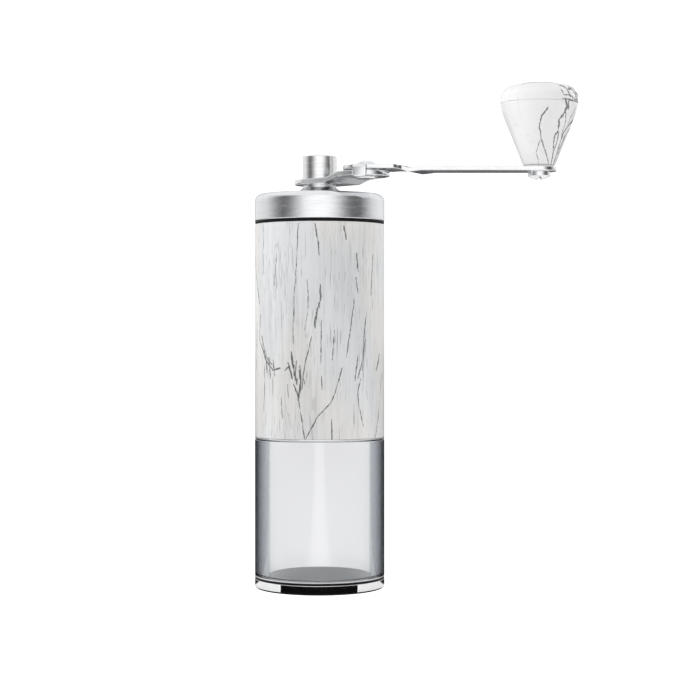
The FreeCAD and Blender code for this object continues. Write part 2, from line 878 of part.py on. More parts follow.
# ---------------------------------------------------------------- crank
def build_hub():
    hub = turned(
        "crank_hub",
        [
            ("zero", "hub_bottom"),
            ("hub_journal_radius", "hub_bottom"),
            ("hub_journal_radius", "hub_clip_bottom"),
            ("hub_clip_groove", "hub_clip_bottom"),
            ("hub_clip_groove", "hub_clip_top"),
            ("hub_journal_radius", "hub_clip_top"),
            ("hub_journal_radius", "collar_bottom"),
            ("collar_foot_radius", "collar_bottom"),
            ("collar_foot_radius", "collar_bottom + edge_break"),
            ("collar_neck_radius", "collar_top - plate_thickness / 2"),
            ("collar_neck_radius", "collar_top"),
            ("tang_radius", "collar_top"),
            ("tang_radius", "tang_top"),
            ("stud_radius", "tang_top"),
            ("stud_radius", "stud_top"),
            ("stud_radius / 2", "stud_top + stud_dome * 0.8"),
            ("zero", "stud_top + stud_dome"),
        ],
    )
    cut_flats(hub, "tang_flats", "tang_flat_half", "tang_radius + edge_break", "collar_top", "tang_top")
    socket = new_sketch(hub, "socket", "XY_Plane", height="hub_bottom")
    hexagon(socket, "hub_socket_half")
    pocket(hub, socket, "socket_cut", depth="hub_socket_top - hub_bottom", upwards=True)

    clip = tube("hub_clip", "hub_clip_groove", "hub_clip_radius", "hub_clip_bottom", "hub_clip_top")
    mouth = new_sketch(clip, "mouth", "XY_Plane", height="hub_clip_bottom")
    rectangle(
        mouth, "zero", "hub_clip_radius + edge_break", "zero - hub_clip_groove / 2", "hub_clip_groove / 2",
    )
    pocket(clip, mouth, "mouth_cut", depth="hub_clip_top - hub_clip_bottom", upwards=True)

    nut = tube("thumb_nut", "stud_radius", "nut_radius", "collar_top + plate_thickness", "nut_top")
    edges = rims(nut, "nut_radius", "nut_top")
    dress(nut, "Fillet", "top_edge", edges, "nut_edge")
    edges = rims(nut, "nut_radius", "collar_top + plate_thickness")
    dress(nut, "Chamfer", "low_edge", edges, "edge_break")


def cylinder(name, radius, low, height, across="zero"):
    """A plain cylinder standing at a height."""
    solid = doc.addObject("Part::Cylinder", name)
    drive(solid, Radius=radius, Height=height, Placement__Base__z=low, Placement__Base__x=across)
    return solid


def joined(name, shapes):
    """Several solids made one."""
    whole = doc.addObject("Part::MultiFuse", name)
    whole.Shapes = shapes
    whole.Refine = True
    return whole


def trimmed(name, strip, plan, holes):
    """A bent strip cut to its plan and drilled; becomes a step or a node."""
    blank = doc.addObject("Part::Common", name + "_blank")
    blank.Base = strip
    blank.Tool = plan
    drilled = doc.addObject("Part::Cut", name)
    drilled.Base = blank
    drilled.Tool = joined(name + "_holes", holes) if len(holes) > 1 else holes[0]
    drilled.Refine = True
    return drilled


def build_bracket():
    """The pressed plate from the hub to the pivot, made along +X and then turned."""
    strip = new_body("bracket_strip", is_node=False)
    side = new_sketch(strip, "side", "XZ_Plane")
    step = "collar_top + plate_thickness"
    high = "collar_top + plate_thickness * 2"
    start = "zero - bracket_end_radius - edge_break"
    reach = "bracket_length + bracket_end_radius"
    polygon(
        side,
        [
            (start, "collar_top"),
            ("joggle_start + plate_thickness / 4", "collar_top"),
            ("joggle_end + plate_thickness / 4", step),
            (reach, step),
            (reach, high),
            ("joggle_end - plate_thickness / 4", high),
            ("joggle_start - plate_thickness / 4", step),
            (start, step),
        ],
    )
    pad(strip, side, "width", "bracket_end_radius * 2 + edge_break * 4", middle=True)
    depth = "plate_thickness * 3"
    neck = doc.addObject("Part::Box", "Bracket_neck")
    drive(neck, Length="bracket_length + bracket_shoulder", Width="bracket_end_radius * 2", Height=depth)
    drive(neck, Placement__Base__y="zero - bracket_end_radius")
    drive(neck, Placement__Base__z="collar_top - edge_break")
    plan = joined(
        "Bracket_plan",
        [
            cylinder("Bracket_end", "bracket_end_radius", "collar_top - edge_break", depth),
            neck,
            cylinder(
                "Bracket_boss", "bracket_boss_radius", "collar_top - edge_break", depth, "bracket_length",
            ),
        ],
    )
    holes = [
        cylinder("Bracket_hub_hole", "tang_radius", "collar_top - edge_break", depth),
        cylinder("Bracket_pin_hole", "rivet_radius", "collar_top - edge_break", depth, "bracket_length"),
    ]
    bracket = trimmed("Bracket", strip, plan, holes)
    bracket.Label = "hub_bracket"
    place(bracket, "zero", "zero", turn="bracket_angle")
    SUBPARTS.append(bracket)


def build_pivot():
    """The washer and the rivet that join the arm to the bracket."""
    angle = math.radians(DIMENSIONS["bracket_angle"])
    across = f"bracket_length * {math.cos(angle):.9f}"
    along = f"bracket_length * {math.sin(angle):.9f}"
    top = "collar_top + plate_thickness * 2"
    washer = tube("pivot_washer", "rivet_radius", "pivot_washer_radius", top, top + " + pivot_washer")
    place(washer, across, along)
    foot = "collar_top + plate_thickness"
    head = top + " + pivot_washer + pivot_play * 2 + arm_thickness"
    rivet = turned(
        "pivot_rivet",
        [
            ("zero", foot + " - rivet_foot"),
            ("rivet_foot_radius - edge_break", foot + " - rivet_foot"),
            ("rivet_foot_radius", foot + " - rivet_foot / 2"),
            ("rivet_foot_radius", foot),
            ("rivet_radius", foot),
            ("rivet_radius", head),
            ("rivet_head_radius", head),
            ("rivet_head_radius", head + " + rivet_dome * 0.18"),
            ("rivet_head_radius * 0.82", head + " + rivet_dome * 0.58"),
            ("rivet_head_radius * 0.48", head + " + rivet_dome * 0.88"),
            ("zero", head + " + rivet_dome"),
        ],
    )
    place(rivet, across, along)
    return across, along


# ---------------------------------------------------------------- arm
ARM_LOW = "collar_top + plate_thickness * 2 + pivot_washer + pivot_play"
ARM_TOP = ARM_LOW + " + arm_thickness"
BAR_TOP = ARM_TOP + " - arm_drop"


def build_tab():
    """The stop tab, bent down beside the bracket's boss; it meets the bracket's shoulder."""
    tab = new_body("arm_tab", is_node=False)
    side = new_sketch(tab, "side", "XZ_Plane")
    outer = "tab_inner + tab_thickness"
    polygon(
        side,
        [
            ("tab_root", ARM_LOW),
            ("tab_inner", ARM_LOW),
            ("tab_inner", "tab_bottom"),
            (outer, "tab_bottom"),
            (outer, ARM_TOP),
            ("tab_root", ARM_TOP),
        ],
    )
    pad(tab, side, "width", "tab_half_width * 2", middle=True)
    corners = []
    bend = []
    for index, edge in enumerate(tab.Shape.Edges, start=1):
        box = edge.BoundBox
        if box.YLength < 1e-6 and box.ZLength < 1e-6 and abs(box.ZMin - number("tab_bottom")) < 1e-6:
            corners.append(f"Edge{index}")
        at_bend = abs(box.XMin - number(outer)) < 1e-6 and abs(box.ZMin - number(ARM_TOP)) < 1e-6
        if at_bend and box.YLength > 1:
            bend.append(f"Edge{index}")
    dress(tab, "Fillet", "rounding", corners + bend, "tab_bend")
    place(tab, "zero", "zero", turn="tab_angle")
    return tab


def build_arm(across, along):
    strip = new_body("arm_strip", is_node=False)
    side = new_sketch(strip, "side", "XZ_Plane")
    stations = [
        ("zero - arm_boss_radius * 2", ""),
        ("arm_step_start", ""),
        ("arm_step_low", " - arm_drop - arm_dip"),
        ("arm_step_end", " - arm_drop"),
        ("arm_length + arm_boss_radius * 2", " - arm_drop"),
    ]
    under = [(station, ARM_LOW + lower) for station, lower in stations]
    over = [(station, ARM_TOP + lower) for station, lower in reversed(stations)]
    polygon(side, under + over)
    width = pad(strip, side, "width", "arm_boss_radius * 4", middle=True)
    skew = math.radians(DIMENSIONS["arm_step_skew"])
    width.UseCustomVector = True
    width.Direction = Vector(math.sin(skew), math.cos(skew), 0)
    low = ARM_LOW + " - plate_thickness"
    depth = "plate_thickness * 4"

    plan_body = new_body("arm_plan", is_node=False)
    plan = new_sketch(plan_body, "bar", "XY_Plane", height=low)
    neck_end = "arm_neck + plate_thickness"
    polygon(
        plan,
        [
            ("zero", "zero - arm_boss_radius"),
            ("arm_neck - plate_thickness", "zero - arm_boss_radius"),
            (neck_end, "zero - arm_half_width"),
            ("arm_length", "zero - arm_half_width"),
            ("arm_length", "arm_half_width"),
            (neck_end, "arm_half_width"),
            ("arm_neck - plate_thickness", "arm_boss_radius"),
            ("zero", "arm_boss_radius"),
        ],
    )
    pad(plan_body, plan, "bar_pad", depth)
    outline = joined(
        "Arm_plan",
        [
            plan_body,
            cylinder("Arm_boss", "arm_boss_radius", low, depth),
            cylinder("Arm_end", "arm_half_width", low, depth, "arm_length"),
        ],
    )
    blank = doc.addObject("Part::Common", "Arm_blank")
    blank.Base = strip
    blank.Tool = outline
    holes = [
        cylinder("Arm_pivot_hole", "arm_bore", low, depth),
        cylinder("Arm_screw_hole", "screw_hole", low, depth, "arm_length"),
    ]
    arm = doc.addObject("Part::Cut", "Arm")
    arm.Base = joined("Arm_with_tab", [blank, build_tab()])
    arm.Tool = joined("Arm_holes", holes)
    arm.Refine = True
    arm.Label = "crank_arm"
    place(arm, across, along)
    SUBPARTS.append(arm)


# ---------------------------------------------------------------- knob
def build_knob(across, along):
    under = BAR_TOP + " - arm_thickness"
    screw = turned(
        "knob_screw",
        [
            ("zero", "screw_head_bottom"),
            ("screw_crown_radius", "screw_head_bottom"),
            ("screw_head_radius - edge_break", "screw_head_side - edge_break"),
            ("screw_head_radius", "screw_head_side"),
            ("screw_head_radius", under),
            ("screw_radius", under),
            ("screw_radius", "screw_top"),
            ("zero", "screw_top"),
        ],
    )
    slot = new_sketch(screw, "slot", "XY_Plane", height="screw_head_bottom")
    rectangle(
        slot, "zero - screw_slot_half", "screw_slot_half", "zero - screw_head_radius", "screw_head_radius",
    )
    pocket(screw, slot, "slot_cut", depth="screw_slot", upwards=True)

    spindle = turned(
        "knob_spindle",
        [
            ("screw_radius", BAR_TOP),
            ("spindle_radius", BAR_TOP),
            ("spindle_radius", "spindle_head_bottom"),
            ("spindle_head_radius", "spindle_head_bottom"),
            ("spindle_head_radius", "spindle_head_top"),
            ("zero", "spindle_head_top"),
            ("zero", "spindle_bore_top"),
            ("screw_radius", "spindle_bore_top"),
        ],
    )
    washer = tube("knob_washer", "knob_washer_bore", "knob_washer_radius", BAR_TOP, "knob_washer_top")
    knob = turned(
        "knob_body",
        [
            ("knob_bore", "knob_bottom"),
            ("knob_foot_radius", "knob_bottom"),
            ("knob_flare_radius", "knob_flare_height"),
            ("knob_radius", "knob_seam"),
            ("knob_recess", "knob_seam"),
            ("knob_recess", "knob_recess_floor"),
            ("knob_bore", "knob_recess_floor"),
        ],
    )
    dress(knob, "Fillet", "flare", rims(knob, "knob_flare_radius", "knob_flare_height"), "knob_flare_blend")
    dress(knob, "Fillet", "foot", rims(knob, "knob_foot_radius", "knob_bottom"), "knob_foot_edge")
    dress(knob, "Fillet", "rim", rims(knob, "knob_radius", "knob_seam"), "edge_break")
    cap = turned(
        "knob_cap",
        [
            ("zero", "knob_seam + plate_thickness"),
            ("knob_plug_inner", "knob_seam + plate_thickness"),
            ("knob_plug_inner", "knob_plug_bottom"),
            ("knob_plug", "knob_plug_bottom"),
            ("knob_plug", "knob_seam"),
            ("knob_radius", "knob_seam"),
            ("knob_radius", "cap_side_top"),
            ("cap_shoulder_radius", "cap_shoulder_height"),
            ("cap_shoulder_radius / 2", "knob_top - edge_break * 1.6"),
            ("zero", "knob_top"),
        ],
    )
    edges = rims(cap, "knob_radius", "cap_side_top") + rims(cap, "cap_shoulder_radius", "cap_shoulder_height")
    dress(cap, "Fillet", "shoulder", edges, "cap_edge")
    dress(cap, "Fillet", "rim", rims(cap, "knob_radius", "knob_seam"), "edge_break")
    for body in (screw, spindle, washer, knob, cap):
        place(body, across, along)


# ---------------------------------------------------------------- making and writing
def main():
    build_cup()
    build_body()
    build_bridge()
    build_housing()
    build_burrs()
    build_burr_ring()
    build_shaft()
    build_spring()
    build_lid()
    build_hub()
    build_bracket()
    pivot_across, pivot_along = build_pivot()
    build_arm(pivot_across, pivot_along)
    build_knob(pivot_across + " + arm_length", pivot_along)
    doc.recompute()

    for thing in doc.Objects:
        if "Invalid" in thing.State or "Error" in thing.State:
            raise RuntimeError(f"{thing.Name} ({thing.Label}) is {thing.State}")
    for part in SUBPARTS:
        if part.Shape.isNull() or not part.Shape.isValid():
            raise RuntimeError(f"{part.Label} has no valid shape")

    os.makedirs("parts", exist_ok=True)
    for part in SUBPARTS:
        part.Shape.exportStep(f"parts/{part.Label}.step")
        print(f"{part.Label}: {part.Shape.Volume:.1f} mm3, {len(part.Shape.Solids)} solids")


main()
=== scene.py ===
import logging
import math
from dataclasses import dataclass, field
from enum import Enum

import bmesh
import bpy
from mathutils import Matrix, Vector


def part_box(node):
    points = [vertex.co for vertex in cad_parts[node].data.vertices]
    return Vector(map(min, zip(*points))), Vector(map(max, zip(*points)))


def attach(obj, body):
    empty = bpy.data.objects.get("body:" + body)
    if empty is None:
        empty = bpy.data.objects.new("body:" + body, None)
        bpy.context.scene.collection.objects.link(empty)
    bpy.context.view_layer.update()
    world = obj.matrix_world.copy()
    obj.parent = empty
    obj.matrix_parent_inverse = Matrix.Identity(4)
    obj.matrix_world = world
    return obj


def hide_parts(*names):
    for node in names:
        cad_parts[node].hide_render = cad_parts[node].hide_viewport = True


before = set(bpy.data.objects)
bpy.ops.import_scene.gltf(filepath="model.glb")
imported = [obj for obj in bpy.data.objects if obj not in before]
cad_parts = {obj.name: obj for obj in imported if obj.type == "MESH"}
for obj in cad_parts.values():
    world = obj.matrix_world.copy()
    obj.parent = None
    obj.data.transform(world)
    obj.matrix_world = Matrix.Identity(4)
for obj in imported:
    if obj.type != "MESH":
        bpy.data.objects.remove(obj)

MM = 0.001
LOG = logging.getLogger("grinder")
TURN_STEPS = 192


# ------------------------------------------------------------------ places read from the frame
@dataclass(frozen=True)
class Span:
    """Where a turned piece of the frame stands: its axis, its ends and its outer radius."""

    x: float
    y: float
    low: float
    high: float
    radius: float

    @classmethod
    def of(cls, node: str) -> "Span":
        """Measures a node of the frame.

        Args:
            node: the node's name.

        Returns:
            The node's axis place, lowest and highest point and largest radius, in metres.
        """
        low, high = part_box(node)
        middle = (low + high) / 2
        return cls(middle.x, middle.y, low.z, high.z, (high.x - low.x) / 2)


# ------------------------------------------------------------------ outlines and turning
@dataclass(frozen=True)
class Corner:
    """One corner of a turned outline: radius and height in metres, and how far it is rounded."""

    radius: float
    height: float
    round: float = 0.0


def rounded_outline(corners: list[Corner], closed: bool = True, steps: int = 6) -> list[tuple[float, float]]:
    """Rounds the corners of an outline with arcs.

    Args:
        corners: the outline's corners in order.
        closed: whether the last corner joins the first.
        steps: how many edges each arc gets.

    Returns:
        Points (radius, height), with a holding point beside each arc to keep flats flat.
    """
    points: list[tuple[float, float]] = []
    count = len(corners)
    for index, corner in enumerate(corners):
        here = Vector((corner.radius, corner.height))
        at_end = not closed and index in (0, count - 1)
        before = corners[index - 1]
        after = corners[(index + 1) % count]
        back = Vector((before.radius, before.height)) - here
        ahead = Vector((after.radius, after.height)) - here
        if corner.round <= 0 or at_end or back.angle(ahead) > math.pi - 0.01:
            points.append((here.x, here.y))
            continue
        half = back.angle(ahead) / 2
        reach = min(corner.round / math.tan(half), back.length * 0.48, ahead.length * 0.48)
        size = reach * math.tan(half)
        middle = here + (back.normalized() + ahead.normalized()).normalized() * (size / math.sin(half))
        start = here + back.normalized() * reach
        end = here + ahead.normalized() * reach
        first = start - middle
        sweep = first.angle_signed(end - middle)
        hold = min(0.35 * reach, 0.15 * MM)
        points.append(tuple(start + back.normalized() * hold))
        for step in range(steps + 1):
            angle = -sweep * step / steps
            turned = Vector(
                (
                    first.x * math.cos(angle) - first.y * math.sin(angle),
                    first.x * math.sin(angle) + first.y * math.cos(angle),
                )
            )
            points.append(tuple(middle + turned))
        points.append(tuple(end + ahead.normalized() * hold))
    return points


def mesh_object(name: str, mesh: bpy.types.Mesh) -> bpy.types.Object:
    """Links a mesh as a new object at the origin."""
    made = bpy.data.objects.new(name, mesh)
    bpy.context.scene.collection.objects.link(made)
    return made


def smooth(mesh: bpy.types.Mesh, angle: float = 32.0) -> None:
    """Shades a mesh smooth, with sharp edges where faces meet at more than the angle in degrees."""
    mesh.polygons.foreach_set("use_smooth", [True] * len(mesh.polygons))
    mesh.set_sharp_from_angle(angle=math.radians(angle))
    mesh.update()


def turned_piece(
    name: str,
    outline: list[tuple[float, float]],
    centre: tuple[float, float] = (0.0, 0.0),
    closed: bool = True,
    steps: int = TURN_STEPS,
) -> bpy.types.Object:
    """Turns an outline about a vertical axis into a closed mesh with outward faces.

    Args:
        name: the piece's name.
        outline: points (radius, height); an open outline starts and ends on the axis.
        centre: the axis place in x and y.
        closed: whether the outline's last point joins its first.
        steps: how many steps make a full turn.

    Returns:
        The new object.
    """
    work = bmesh.new()
    rings: list[list[bmesh.types.BMVert]] = []
    for radius, height in outline:
        if radius < 1e-7:
            rings.append([work.verts.new((centre[0], centre[1], height))])
            continue
        ring = []
        for step in range(steps):
            turn = math.tau * step / steps
            ring.append(
                work.verts.new(
                    (centre[0] + radius * math.cos(turn), centre[1] + radius * math.sin(turn), height)
                )
            )
        rings.append(ring)
    pairs = list(zip(rings, rings[1:]))
    if closed:
        pairs.append((rings[-1], rings[0]))
    for low, high in pairs:
        for step in range(steps):
            following = (step + 1) % steps
            corners = []
            for ring, index in ((low, step), (low, following), (high, following), (high, step)):
                vert = ring[index % len(ring)]
                if vert not in corners:
                    corners.append(vert)
            if len(corners) > 2:
                work.faces.new(corners)
    bmesh.ops.recalc_face_normals(work, faces=work.faces)
    mesh = bpy.data.meshes.new(name)
    work.to_mesh(mesh)
    work.free()
    smooth(mesh)
    return mesh_object(name, mesh)


def arc_points(
    centre: tuple[float, float], radius: float, start: float, end: float, steps: int = 40
) -> list[tuple[float, float]]:
    """Points along an arc in the plane, with its angles in degrees."""
    found = []
    for step in range(steps + 1):
        angle = math.radians(start + (end - start) * step / steps)
        found.append((centre[0] + radius * math.cos(angle), centre[1] + radius * math.sin(angle)))
    return found


def cut_plate(
    name: str,
    outline: list[tuple[float, float]],
    holes: list[tuple[float, float, float]],
    thickness: float,
    edge: float,
) -> bpy.types.Mesh:
    """A flat plate with rounded edges, cut from sheet.

    Args:
        name: the mesh's name.
        outline: the outer edge, in order.
        holes: round holes as (x, y, radius).
        thickness: the sheet's thickness.
        edge: how far the cut edges are rounded.

    Returns:
        The plate's mesh, centred on its own middle plane.
    """
    curve = bpy.data.curves.new(name, "CURVE")
    curve.dimensions = "2D"
    curve.fill_mode = "BOTH"
    loops = [outline]
    for x, y, radius in holes:
        loops.append(arc_points((x, y), radius, 0, 360, 64)[:-1])
    for loop in loops:
        spline = curve.splines.new("POLY")
        spline.points.add(len(loop) - 1)
        for point, (x, y) in zip(spline.points, loop):
            point.co = (x, y, 0, 1)
        spline.use_cyclic_u = True
    curve.extrude = thickness / 2 - edge
    curve.bevel_depth = edge
    curve.bevel_resolution = 2
    curve.offset = -edge
    holder = bpy.data.objects.new(name + "_curve", curve)
    bpy.context.scene.collection.objects.link(holder)
    bpy.context.view_layer.update()
    mesh = bpy.data.meshes.new_from_object(holder.evaluated_get(bpy.context.evaluated_depsgraph_get()))
    bpy.data.objects.remove(holder)
    bpy.data.curves.remove(curve)
    mesh.name = name
    return mesh


def slice_mesh(work: bmesh.types.BMesh, places: list[float], direction: Vector) -> None:
    """Cuts edges into a mesh along planes square to a direction, so that it can be bent there."""
    for place in places:
        bmesh.ops.bisect_plane(
            work,
            geom=work.verts[:] + work.edges[:] + work.faces[:],
            plane_co=direction * place,
            plane_no=direction,
            dist=1e-7,
        )


def eased(stations: list[tuple[float, float]], place: float, window: float) -> float:
    """A run of straight slopes with its bends rounded over a window.

    Args:
        stations: (place, value) pairs in order of place.
        place: where the value is wanted.
        window: half the length over which a bend is spread.

    Returns:
        The eased value.
    """
    samples = 15
    total = 0.0
    for index in range(samples):
        at = place + window * (2 * index / (samples - 1) - 1)
        value = stations[0][1] if at <= stations[0][0] else stations[-1][1]
        for (left, low), (right, high) in zip(stations, stations[1:]):
            if left < at <= right:
                value = low + (high - low) * (at - left) / (right - left)
        total += value
    return total / samples


# ------------------------------------------------------------------ geometry node trees
def make_ring_of(name: str) -> bpy.types.NodeTree:
    """A tree that sets copies of the piece it is put on in a ring about the vertical axis.

    Args:
        name: the tree's name.

    Returns:
        The tree, with inputs Count, Radius, Height and Finish.
    """
    tree = bpy.data.node_groups.new(name, "GeometryNodeTree")
    face = tree.interface
    face.new_socket("Geometry", in_out="INPUT", socket_type="NodeSocketGeometry")
    face.new_socket("Count", in_out="INPUT", socket_type="NodeSocketInt").default_value = 3
    face.new_socket("Radius", in_out="INPUT", socket_type="NodeSocketFloat").default_value = 0.01
    face.new_socket("Height", in_out="INPUT", socket_type="NodeSocketFloat")
    face.new_socket("Finish", in_out="INPUT", socket_type="NodeSocketMaterial")
    face.new_socket("Geometry", in_out="OUTPUT", socket_type="NodeSocketGeometry")
    nodes, links = tree.nodes, tree.links
    given = nodes.new("NodeGroupInput")
    out = nodes.new("NodeGroupOutput")
    circle = nodes.new("GeometryNodeMeshCircle")
    links.new(given.outputs["Count"], circle.inputs["Vertices"])
    links.new(given.outputs["Radius"], circle.inputs["Radius"])
    place = nodes.new("ShaderNodeCombineXYZ")
    links.new(given.outputs["Height"], place.inputs["Z"])
    lift = nodes.new("GeometryNodeSetPosition")
    links.new(circle.outputs["Mesh"], lift.inputs["Geometry"])
    links.new(place.outputs["Vector"], lift.inputs["Offset"])
    index = nodes.new("GeometryNodeInputIndex")
    share = nodes.new("ShaderNodeMath")
    share.operation = "DIVIDE"
    links.new(index.outputs["Index"], share.inputs[0])
    links.new(given.outputs["Count"], share.inputs[1])
    turn = nodes.new("ShaderNodeMath")
    turn.operation = "MULTIPLY"
    turn.inputs[1].default_value = math.tau
    links.new(share.outputs[0], turn.inputs[0])
    rotation = nodes.new("ShaderNodeCombineXYZ")
    links.new(turn.outputs[0], rotation.inputs["Z"])
    copies = nodes.new("GeometryNodeInstanceOnPoints")
    links.new(lift.outputs["Geometry"], copies.inputs["Points"])
    links.new(given.outputs["Geometry"], copies.inputs["Instance"])
    links.new(rotation.outputs["Vector"], copies.inputs["Rotation"])
    real = nodes.new("GeometryNodeRealizeInstances")
    links.new(copies.outputs["Instances"], real.inputs["Geometry"])
    finish = nodes.new("GeometryNodeSetMaterial")
    links.new(real.outputs["Geometry"], finish.inputs["Geometry"])
    links.new(given.outputs["Finish"], finish.inputs["Material"])
    links.new(finish.outputs["Geometry"], out.inputs["Geometry"])
    return tree


def make_coil(name: str) -> bpy.types.NodeTree:
    """A tree that winds a wire into a coil spring standing on the vertical axis.

    Args:
        name: the tree's name.

    Returns:
        The tree, with inputs Turns, Radius, Low, Length, Wire and Finish.
    """
    tree = bpy.data.node_groups.new(name, "GeometryNodeTree")
    face = tree.interface
    face.new_socket("Geometry", in_out="INPUT", socket_type="NodeSocketGeometry")
    for label in ("Turns", "Radius", "Low", "Length", "Wire"):
        face.new_socket(label, in_out="INPUT", socket_type="NodeSocketFloat")
    face.new_socket("Finish", in_out="INPUT", socket_type="NodeSocketMaterial")
    face.new_socket("Geometry", in_out="OUTPUT", socket_type="NodeSocketGeometry")
    nodes, links = tree.nodes, tree.links
    given = nodes.new("NodeGroupInput")
    out = nodes.new("NodeGroupOutput")
    spiral = nodes.new("GeometryNodeCurveSpiral")
    spiral.inputs["Resolution"].default_value = 40
    links.new(given.outputs["Turns"], spiral.inputs["Rotations"])
    links.new(given.outputs["Radius"], spiral.inputs["Start Radius"])
    links.new(given.outputs["Radius"], spiral.inputs["End Radius"])
    links.new(given.outputs["Length"], spiral.inputs["Height"])
    wire = nodes.new("GeometryNodeCurvePrimitiveCircle")
    wire.inputs["Resolution"].default_value = 14
    links.new(given.outputs["Wire"], wire.inputs["Radius"])
    body = nodes.new("GeometryNodeCurveToMesh")
    body.inputs["Fill Caps"].default_value = True
    links.new(spiral.outputs["Curve"], body.inputs["Curve"])
    links.new(wire.outputs["Curve"], body.inputs["Profile Curve"])
    place = nodes.new("ShaderNodeCombineXYZ")
    links.new(given.outputs["Low"], place.inputs["Z"])
    lift = nodes.new("GeometryNodeSetPosition")
    links.new(body.outputs["Mesh"], lift.inputs["Geometry"])
    links.new(place.outputs["Vector"], lift.inputs["Offset"])
    real = nodes.new("GeometryNodeRealizeInstances")
    links.new(lift.outputs["Geometry"], real.inputs["Geometry"])
    finish = nodes.new("GeometryNodeSetMaterial")
    links.new(real.outputs["Geometry"], finish.inputs["Geometry"])
    links.new(given.outputs["Finish"], finish.inputs["Material"])
    links.new(finish.outputs["Geometry"], out.inputs["Geometry"])
    return tree


def grown(piece: bpy.types.Object, tree: bpy.types.NodeTree, values: dict[str, object]) -> bpy.types.Object:
    """Runs a geometry node tree on a piece and keeps its result as plain mesh.

    Args:
        piece: the object that the tree is put on.
        tree: the tree.
        values: the tree's inputs by name.

    Returns:
        The same object with the tree's result as its mesh.
    """
    modifier = piece.modifiers.new(tree.name, "NODES")
    modifier.node_group = tree
    for item in tree.interface.items_tree:
        if item.item_type == "SOCKET" and item.in_out == "INPUT" and item.name in values:
            modifier[item.identifier] = values[item.name]
    bpy.context.view_layer.update()
    dependencies = bpy.context.evaluated_depsgraph_get()
    mesh = bpy.data.meshes.new_from_object(piece.evaluated_get(dependencies))
    piece.modifiers.remove(modifier)
    piece.data = mesh
    smooth(mesh, 40.0)
    return piece


# ------------------------------------------------------------------ shader node helpers
class Wiring:
    """Short ways to add and join nodes in one node tree."""

    def __init__(self, tree: bpy.types.NodeTree) -> None:
        """Keeps the tree that nodes are added to."""
        self.tree = tree

    def add(self, kind: str, **settings: object) -> bpy.types.Node:
        """Adds a node and sets its properties."""
        node = self.tree.nodes.new(kind)
        for name, value in settings.items():
            setattr(node, name, value)
        return node

    def join(self, source: object, target: bpy.types.NodeSocket) -> None:
        """Links a socket, or sets a plain value."""
        if isinstance(source, bpy.types.NodeSocket):
            self.tree.links.new(source, target)
        else:
            target.default_value = source

    def math(
        self, operation: str, first: object, second: object = 0.0, third: object = 0.0, clamp: bool = False
    ):
        """A Math node's result."""
        node = self.add("ShaderNodeMath", operation=operation, use_clamp=clamp)
        for socket, value in zip(node.inputs, (first, second, third)):
            self.join(value, socket)
        return node.outputs[0]

    def vector(self, operation: str, first: object, second: object = (0.0, 0.0, 0.0), scale: object = 1.0):
        """A Vector Math node's result; a length or dot product comes out as a value."""
        node = self.add("ShaderNodeVectorMath", operation=operation)
        self.join(first, node.inputs[0])
        self.join(second, node.inputs[1])
        if operation == "SCALE":
            self.join(scale, node.inputs["Scale"])
        single = operation in ("LENGTH", "DISTANCE", "DOT_PRODUCT")
        return node.outputs["Value"] if single else node.outputs["Vector"]

    def noise(
        self, place: object, scale: float, detail: float = 3.0, rough: float = 0.5, distort: float = 0.0
    ):
        """A Noise texture's value."""
        node = self.add("ShaderNodeTexNoise")
        self.join(place, node.inputs["Vector"])
        node.inputs["Scale"].default_value = scale
        node.inputs["Detail"].default_value = detail
        node.inputs["Roughness"].default_value = rough
        node.inputs["Distortion"].default_value = distort
        return node.outputs["Fac"]

    def band(self, value: object, low: float, high: float, to_low: float = 0.0, to_high: float = 1.0):
        """A value mapped smoothly from one range to another and held at its ends."""
        node = self.add("ShaderNodeMapRange", interpolation_type="SMOOTHSTEP")
        self.join(value, node.inputs["Value"])
        node.inputs["From Min"].default_value = low
        node.inputs["From Max"].default_value = high
        node.inputs["To Min"].default_value = to_low
        node.inputs["To Max"].default_value = to_high
        return node.outputs["Result"]

    def mix(self, share: object, first: object, second: object):
        """A colour mixed from two."""
        node = self.add("ShaderNodeMix", data_type="RGBA")
        self.join(share, node.inputs[0])
        for socket, value in ((node.inputs[6], first), (node.inputs[7], second)):
            self.join(value if isinstance(value, bpy.types.NodeSocket) else (*value[:3], 1.0), socket)
        return node.outputs[2]

    def object_place(self, stretch: tuple[float, float, float] = (1.0, 1.0, 1.0)):
        """Object coordinates, stretched along each axis."""
        place = self.add("ShaderNodeTexCoord").outputs["Object"]
        return self.vector("MULTIPLY", place, stretch)

    def group(self, group: bpy.types.NodeTree, **values: object) -> bpy.types.Node:
        """Places a node group and sets its inputs; an underscore in a name stands for a space."""
        node = self.add("ShaderNodeGroup", node_tree=group)
        for name, value in values.items():
            self.join(value, node.inputs[name.replace("_", " ")])
        return node


def new_group(name: str, inputs: list[tuple[str, str, object]], outputs: list[tuple[str, str]]):
    """Starts a shader node group.

    Args:
        name: the group's name.
        inputs: (name, socket type, default) of each input.
        outputs: (name, socket type) of each output.

    Returns:
        The group's tree, its wiring, its input node and its output node.
    """
    tree = bpy.data.node_groups.new(name, "ShaderNodeTree")
    for label, kind, default in inputs:
        socket = tree.interface.new_socket(label, in_out="INPUT", socket_type=kind)
        if default is not None:
            socket.default_value = default
    for label, kind in outputs:
        tree.interface.new_socket(label, in_out="OUTPUT", socket_type=kind)
    wiring = Wiring(tree)
    return tree, wiring, wiring.add("NodeGroupInput"), wiring.add("NodeGroupOutput")


FLOAT = "NodeSocketFloat"
VECTOR = "NodeSocketVector"
COLOR = "NodeSocketColor"


